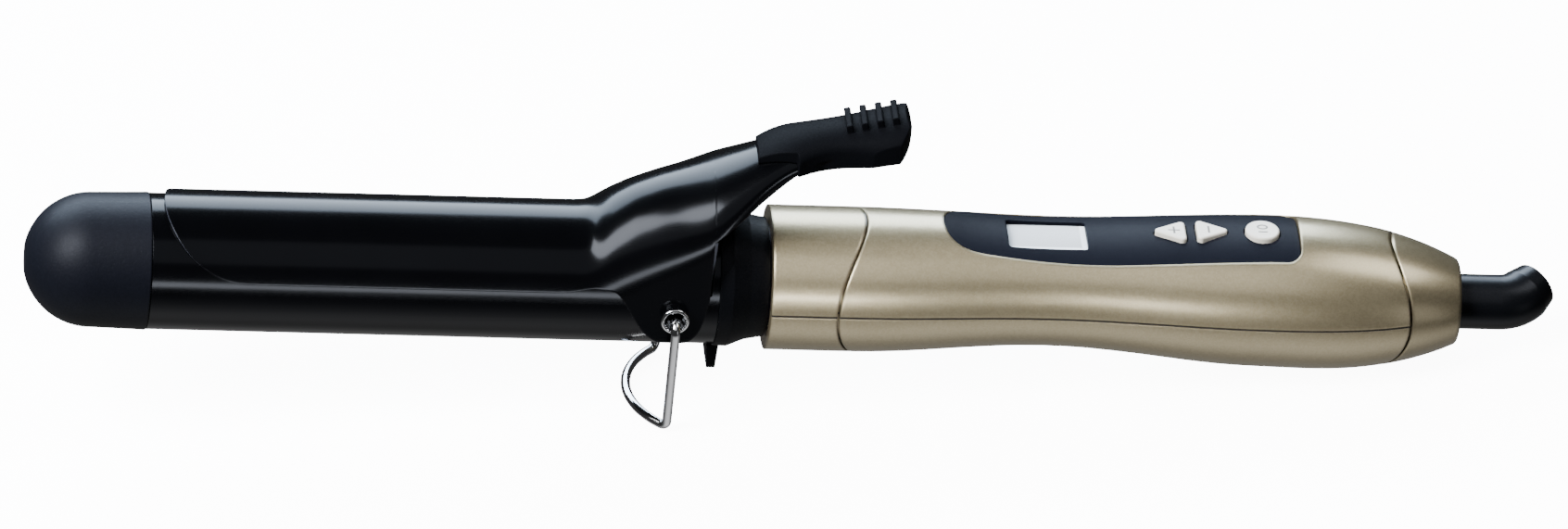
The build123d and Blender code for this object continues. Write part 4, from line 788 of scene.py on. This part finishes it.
class IRON_OT_handle(bpy.types.Operator):
    """Paints the handle shells, the front ring and the end cap"""

    bl_idname = "iron.handle"
    bl_label = "Handle paint"

    def execute(self, context):
        look = context.scene.iron_finish
        tones = tuple(look.paint), tuple(look.paint_shade)
        dress(flake_paint("champagne_paint", *tones, look.flake, look.seam), *PAINTED)
        # the cap has no parting: a seam below zero paints no shade
        dress(flake_paint("cap_paint", *tones, look.flake, seam=-0.001), "end_cap")
        return {"FINISHED"}


class IRON_OT_barrel(bpy.types.Operator):
    """Coats the barrel and the spring clip"""

    bl_idname = "iron.barrel"
    bl_label = "Barrel enamel"

    def execute(self, context):
        look = context.scene.iron_finish
        dress(gloss_enamel("black_enamel", tuple(look.enamel)), "barrel_tube", "clip_plate")
        return {"FINISHED"}


class IRON_OT_spring_clip(bpy.types.Operator):
    """Forms the spring clip's tongue, lever and ears from one sheet"""

    bl_idname = "iron.spring_clip"
    bl_label = "Spring clip"

    def execute(self, context):
        look = context.scene.iron_finish
        sizes = context.scene.iron_clip
        grid = clip_surface(sizes)
        points = from_pivot(grid.reshape(-1, 3), AXIS_RISE)
        enamel = gloss_enamel("clip_enamel", tuple(look.enamel))
        clip = mesh_piece("clip_sheet", points, sheet_faces(*grid.shape[:2]), enamel, "clip", "clip_black")
        # painted highlight: the sheet's cut edges get an enamel 48 times paler, so the rim shows as a light
        # line
        painted_edge_highlight = scaled(look.enamel, 48)
        clip.data.materials.append(gloss_enamel("clip_cut_edge", painted_edge_highlight, tint=(1.0, 1.0, 1.0), haziness=0.30))
        wall = clip.modifiers.new("wall", "SOLIDIFY")
        wall.thickness = sizes.sheet
        wall.offset = -1.0
        wall.material_offset_rim = 1
        rim = clip.modifiers.new("rim", "BEVEL")
        rim.width = sizes.rim
        rim.segments = 3
        rim.limit_method = "ANGLE"
        rim.angle_limit = math.radians(60)
        rim.material = 1
        drill = self.drill()
        hole = clip.modifiers.new("pivot_hole", "BOOLEAN")
        hole.operation = "DIFFERENCE"
        hole.object = drill
        ready = clip.evaluated_get(context.evaluated_depsgraph_get())
        mesh = bpy.data.meshes.new_from_object(ready)
        mesh.name = "clip_sheet"
        clip.modifiers.clear()
        clip.data = mesh
        mesh.shade_smooth()
        mesh.set_sharp_from_angle(angle=math.radians(50))
        bpy.data.objects.remove(drill)
        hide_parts("clip_plate")
        return {"FINISHED"}

    def drill(self):
        """Round bar through both ears along the pivot, to cut the holes with."""
        path = np.outer((-20.0, -19.9, 19.9, 20.0), (0.0, 1.0, 0.0))
        return mesh_object("drill", *closed_piece(tube(path, radius=2.16, around=48)))


class IRON_OT_stand_wire(bpy.types.Operator):
    """Bends the stand from plated wire and crimps the eyelets that carry it"""

    bl_idname = "iron.stand_wire"
    bl_label = "Wire stand and eyelets"

    def execute(self, context):
        look = context.scene.iron_finish
        sizes = context.scene.iron_clip
        chrome = plated("chrome_wire", tuple(look.chrome), roughness=0.06)
        shape = closed_piece(tube(stand_path(), sizes.wire / MM))
        wire = mesh_piece("stand_wire", *shape, chrome, "stand", "bright_steel")
        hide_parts("wire_stand")
        near, near_faces = closed_piece(eyelet(sizes.petals, sizes.crimp, -1.0))
        far, far_faces = closed_piece(eyelet(sizes.petals, sizes.crimp, 1.0))
        pair = np.concatenate([near, far]), np.concatenate([near_faces, far_faces + len(near)])
        eyelets = mesh_piece("pivot_eyelets", *pair, chrome, "iron", "bright_steel")
        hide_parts("pivot_rivets")
        return {"FINISHED"}


class IRON_OT_leaf_spring(bpy.types.Operator):
    """Bends the leaf spring, which flexes between the lever and the neck"""

    bl_idname = "iron.leaf_spring"
    bl_label = "Leaf spring"

    def execute(self, context):
        shape = closed_piece(ribbon(leaf_path(), LEAF_HALF_THICK, LEAF_HALF_WIDE), AXIS_RISE)
        steel = worked_metal("leaf_steel", SPRING_STEEL, roughness=0.30)
        leaf = mesh_piece("leaf_spring", *shape, steel, None, "plain_steel")
        leaf.data.set_sharp_from_angle(angle=math.radians(35))
        ends = from_pivot(LEAF_FLEX, AXIS_RISE)
        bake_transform(leaf)
        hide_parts("clip_spring")
        return {"FINISHED"}


class IRON_OT_mouldings(bpy.types.Operator):
    """Grains the cool tip, thumb pad, neck collar and cord elbow"""

    bl_idname = "iron.mouldings"
    bl_label = "Plastic mouldings"

    def execute(self, context):
        look = context.scene.iron_finish
        tip = grained_plastic(
            "cool_plastic", tuple(look.moulding), look.grain * 2, roughness=0.46, shine=0.32, depth=0.00009)
        dress(tip, "cool_tip")
        collar = tuple(look.collar), look.grain
        pad = grained_plastic("pad_plastic", *collar, roughness=0.52, shine=0.05, edge=0.0006)
        dress(pad, "thumb_pad")
        dress(grained_plastic("collar_plastic", *collar, roughness=0.46, shine=0.20), "neck_collar")
        elbow = grained_plastic("elbow_plastic", *collar, roughness=0.30, shine=0.60, depth=0.00002)
        dress(elbow, "swivel_elbow")
        return {"FINISHED"}


class IRON_OT_controls(bpy.types.Operator):
    """Finishes the control panel, display and buttons"""

    bl_idname = "iron.controls"
    bl_label = "Control panel"

    def execute(self, context):
        look = context.scene.iron_finish
        panel = grained_plastic(
            "panel_plastic", tuple(look.panel), grain=0.00025, roughness=0.42, shine=0.09, depth=0.00002)
        dress(panel, "control_panel")
        lens = aligned("display_lens")
        centre = (lens.max(0) + lens.min(0)) / 2
        half = (lens.max(0) - lens.min(0)) / 2
        silver = clear_display("silver_display", tuple(look.window), centre, half)
        dress(silver, "display_lens", "display_module")
        pearl = pearl_plastic("pearl_buttons", tuple(look.pearl))
        dress(pearl, "plus_button", "minus_button", "power_button")
        return {"FINISHED"}


class IRON_OT_button_print(bpy.types.Operator):
    """Prints a plus, a minus and a nought and bar on the buttons"""

    bl_idname = "iron.button_print"
    bl_label = "Button print"

    def execute(self, context):
        look = context.scene.iron_finish
        sizes = context.scene.iron_print
        ink = plain_body("button_ink", tuple(look.mark), scaled(look.mark, 0.8), roughness=0.5)
        steps = np.linspace(-1.0, 1.0, 9)
        still = np.zeros_like(steps)
        lengthwise = np.stack([steps * sizes.sign, still], 1)
        crosswise = np.stack([still, steps * sizes.sign], 1)
        printed_mark("plus_sign", "plus_button", "plus_key", [lengthwise, crosswise], ink, sizes)
        printed_mark("minus_sign", "minus_button", "minus_key", [crosswise], ink, sizes)
        slimness, spacing = 0.72, 0.95
        turn = np.linspace(0.0, 2 * math.pi, 49)
        nought = np.stack([np.cos(turn) * sizes.ring, np.sin(turn) * sizes.ring * slimness], 1)
        bar = np.stack([steps * sizes.ring, still], 1)
        apart = np.array([0.0, sizes.ring * spacing])
        printed_mark("power_sign", "power_button", "power_key", [nought + apart, bar - apart], ink, sizes)
        return {"FINISHED"}


class IRON_OT_bright_parts(bpy.types.Operator):
    """Plates the wire stand, eyelets, spring and screws"""

    bl_idname = "iron.bright_parts"
    bl_label = "Bright parts"

    def execute(self, context):
        look = context.scene.iron_finish
        dress(plated("bright_plate", tuple(look.chrome), roughness=0.07), "wire_stand", "pivot_rivets")
        dress(worked_metal("spring_steel", SPRING_STEEL, roughness=0.30), "clip_spring")
        dress(worked_metal("screw_steel", SCREW_STEEL, roughness=0.35), "handle_screws", "board_screws")
        return {"FINISHED"}


class IRON_OT_inside(bpy.types.Operator):
    """Finishes the heater, the leads and the electronics inside"""

    bl_idname = "iron.inside"
    bl_label = "Inner pieces"

    def execute(self, context):
        for name, (colour, roughness, nodes) in INNER_METALS.items():
            dress(worked_metal(name, colour, roughness), *nodes)
        for name, (colour, speckle, roughness, nodes) in INNER_BODIES.items():
            dress(plain_body(name, colour, speckle, roughness), *nodes)
        return {"FINISHED"}


def floor_disc(radius, rings, spokes):
    """Floor points: circles whose radius grows with the square of the ring number, just under the iron."""
    drop = 0.0002
    reach = np.linspace(0.0, 1.0, rings) ** 2 * radius
    angle = np.linspace(0.0, 2 * math.pi, spokes, endpoint=False)
    x = np.outer(reach, np.cos(angle))
    y = np.outer(reach, np.sin(angle))
    return np.stack([x, y, np.full_like(x, -drop)], -1)


def dome(turn, rise):
    """Direction from the iron to a place on a dome: turned from its front, raised from the floor."""
    return Vector((math.sin(turn) * math.cos(rise), -math.cos(turn) * math.cos(rise), math.sin(rise)))


class IRON_OT_stage(bpy.types.Operator):
    """Sets the pale floor, the soft lights and the camera"""

    bl_idname = "iron.stage"
    bl_label = "Studio"

    def execute(self, context):
        stage = context.scene.iron_stage
        self.lay_floor(stage)
        self.light_room(context.scene, stage)
        self.hang_lights(context.scene)
        self.place_camera(context.scene, stage)
        return {"FINISHED"}

    def lay_floor(self, stage):
        """Lays a glowing disc that the iron neither mirrors nor takes light from."""
        f = Finish("floor_paper")
        paper = f.noise(width=0.004, detail=4.0)
        pale = tuple(stage.floor)
        material = f.set({
            "Base Color": f.mix(paper, scaled(pale, 0.985), pale),
            "Roughness": 0.85 + 0.1 * paper,
            "Specular IOR Level": 0.1,
            "Emission Color": pale,
            "Emission Strength": stage.floor_glow,
        })
        points = floor_disc(radius=4.0, rings=24, spokes=96)
        floor = mesh_object("floor", points.reshape(-1, 3), strip_faces(*points.shape[:2]))
        floor.data.materials.append(material)
        floor.visible_glossy = False
        floor.visible_diffuse = False

    def light_room(self, scene, stage):
        """Lights the room dimly from above and more strongly from below, most of it from the front."""
        scene.world = bpy.data.worlds.new("room")
        room = Backdrop(scene.world)
        height = room.node("ShaderNodeSeparateXYZ", {}, {"Vector": room.place}, "Z")
        depth = room.node("ShaderNodeSeparateXYZ", {}, {"Vector": room.place}, "Y")
        below = room.step(-0.65 - height, width=0.30)
        front = room.step(-0.25 - depth, width=0.30)
        tone = room.mix(below * (0.25 + 0.75 * front), (stage.sky,) * 3, (stage.bounce,) * 3)
        room.feed(room.surface.inputs["Color"], tone)

    def hang_lights(self, scene):
        """Hangs the softboxes; those that light only some pieces are shaded only by the iron."""
        nodes = frame["nodes"]
        clip = bpy.data.objects["clip_sheet"]
        wire = bpy.data.objects["stand_wire"]
        iron = self.gather("iron_pieces", (*nodes.values(), clip, wire))
        self.gather("coated_pieces", (nodes["barrel_tube"], clip))
        self.gather("painted_pieces", (nodes[name] for name in PAINTED))
        for name, box in SOFTBOXES.items():
            light = self.softbox(scene, name, box)
            if box.lit:
                light.light_linking.blocker_collection = iron
                light.light_linking.receiver_collection = bpy.data.collections[box.lit]

    def gather(self, name, pieces):
        """A collection of pieces, for the lights."""
        group = bpy.data.collections.new(name)
        for piece in pieces:
            group.objects.link(piece)
        return group

    def softbox(self, scene, name, box):
        """Hangs one light, facing the iron's middle and unseen by the camera."""
        lamp = bpy.data.lights.new(name, "AREA")
        lamp.shape = "RECTANGLE"
        lamp.size, lamp.size_y = box.size
        lamp.energy = box.power
        lamp.color = box.colour
        way = dome(math.radians(box.turn), math.radians(box.rise))
        light = bpy.data.objects.new(name, lamp)
        light.location = LIGHT_AIM + way * box.distance
        light.rotation_euler = way.to_track_quat("Z", "Y").to_euler()
        light.visible_camera = False
        scene.collection.objects.link(light)
        return light

    def place_camera(self, scene, stage):
        """Camera on a dome round its aim: azimuth, elevation, distance, then a roll about its sight line."""
        way = dome(stage.azimuth, stage.elevation)
        right = (-way).cross(Vector((0.0, 0.0, 1.0))).normalized()
        up = right.cross(-way)
        across = right * math.cos(stage.roll) + up * math.sin(stage.roll)
        upward = up * math.cos(stage.roll) - right * math.sin(stage.roll)
        lens = bpy.data.cameras.new("photo_camera")
        lens.sensor_fit = "HORIZONTAL"
        lens.sensor_width = 36.0
        lens.lens = stage.focal
        lens.clip_end = 50.0
        camera = bpy.data.objects.new("photo_camera", lens)
        turn = Matrix((across, upward, way)).transposed().to_4x4()
        aim = Vector((stage.aim_x, 0.0, stage.aim_z))
        camera.matrix_world = Matrix.Translation(aim + way * stage.distance) @ turn
        scene.collection.objects.link(camera)
        scene.camera = camera


class IRON_PT_sidebar(bpy.types.Panel):
    """Lists the iron's finishes and the studio"""

    bl_idname = "IRON_PT_sidebar"
    bl_label = "Curling iron"
    bl_space_type = "VIEW_3D"
    bl_region_type = "UI"
    bl_category = "Iron"

    def draw(self, context):
        for group in GROUPS:
            settings = getattr(context.scene, group)
            box = self.layout.box()
            for key in settings.bl_rna.properties.keys():
                if key not in ("rna_type", "name"):
                    box.prop(settings, key)
        for operator in OPERATORS:
            self.layout.operator(operator.bl_idname)


OPERATORS = (
    IRON_OT_handle,
    IRON_OT_barrel,
    IRON_OT_spring_clip,
    IRON_OT_stand_wire,
    IRON_OT_leaf_spring,
    IRON_OT_mouldings,
    IRON_OT_controls,
    IRON_OT_button_print,
    IRON_OT_bright_parts,
    IRON_OT_inside,
    IRON_OT_stage,
)
GROUPS = {"iron_clip": IronClip, "iron_finish": IronFinish, "iron_print": IronPrint, "iron_stage": IronStage}


def register():
    """Registers the settings, operators and panel."""
    for group in GROUPS.values():
        bpy.utils.register_class(group)
    for operator in OPERATORS:
        bpy.utils.register_class(operator)
    bpy.utils.register_class(IRON_PT_sidebar)
    for key, group in GROUPS.items():
        setattr(bpy.types.Scene, key, bpy.props.PointerProperty(type=group))


def unregister():
    """Takes the settings, operators and panel away again."""
    for key in GROUPS:
        delattr(bpy.types.Scene, key)
    bpy.utils.unregister_class(IRON_PT_sidebar)
    for operator in reversed(OPERATORS):
        bpy.utils.unregister_class(operator)
    for group in GROUPS.values():
        bpy.utils.unregister_class(group)


def main():
    register()
    bpy.ops.iron.handle()
    bpy.ops.iron.barrel()
    bpy.ops.iron.spring_clip()
    bpy.ops.iron.stand_wire()
    bpy.ops.iron.leaf_spring()
    bpy.ops.iron.mouldings()
    bpy.ops.iron.controls()
    bpy.ops.iron.button_print()
    bpy.ops.iron.bright_parts()
    bpy.ops.iron.inside()
    bpy.ops.iron.stage()


if __name__ == "__main__":
    main()
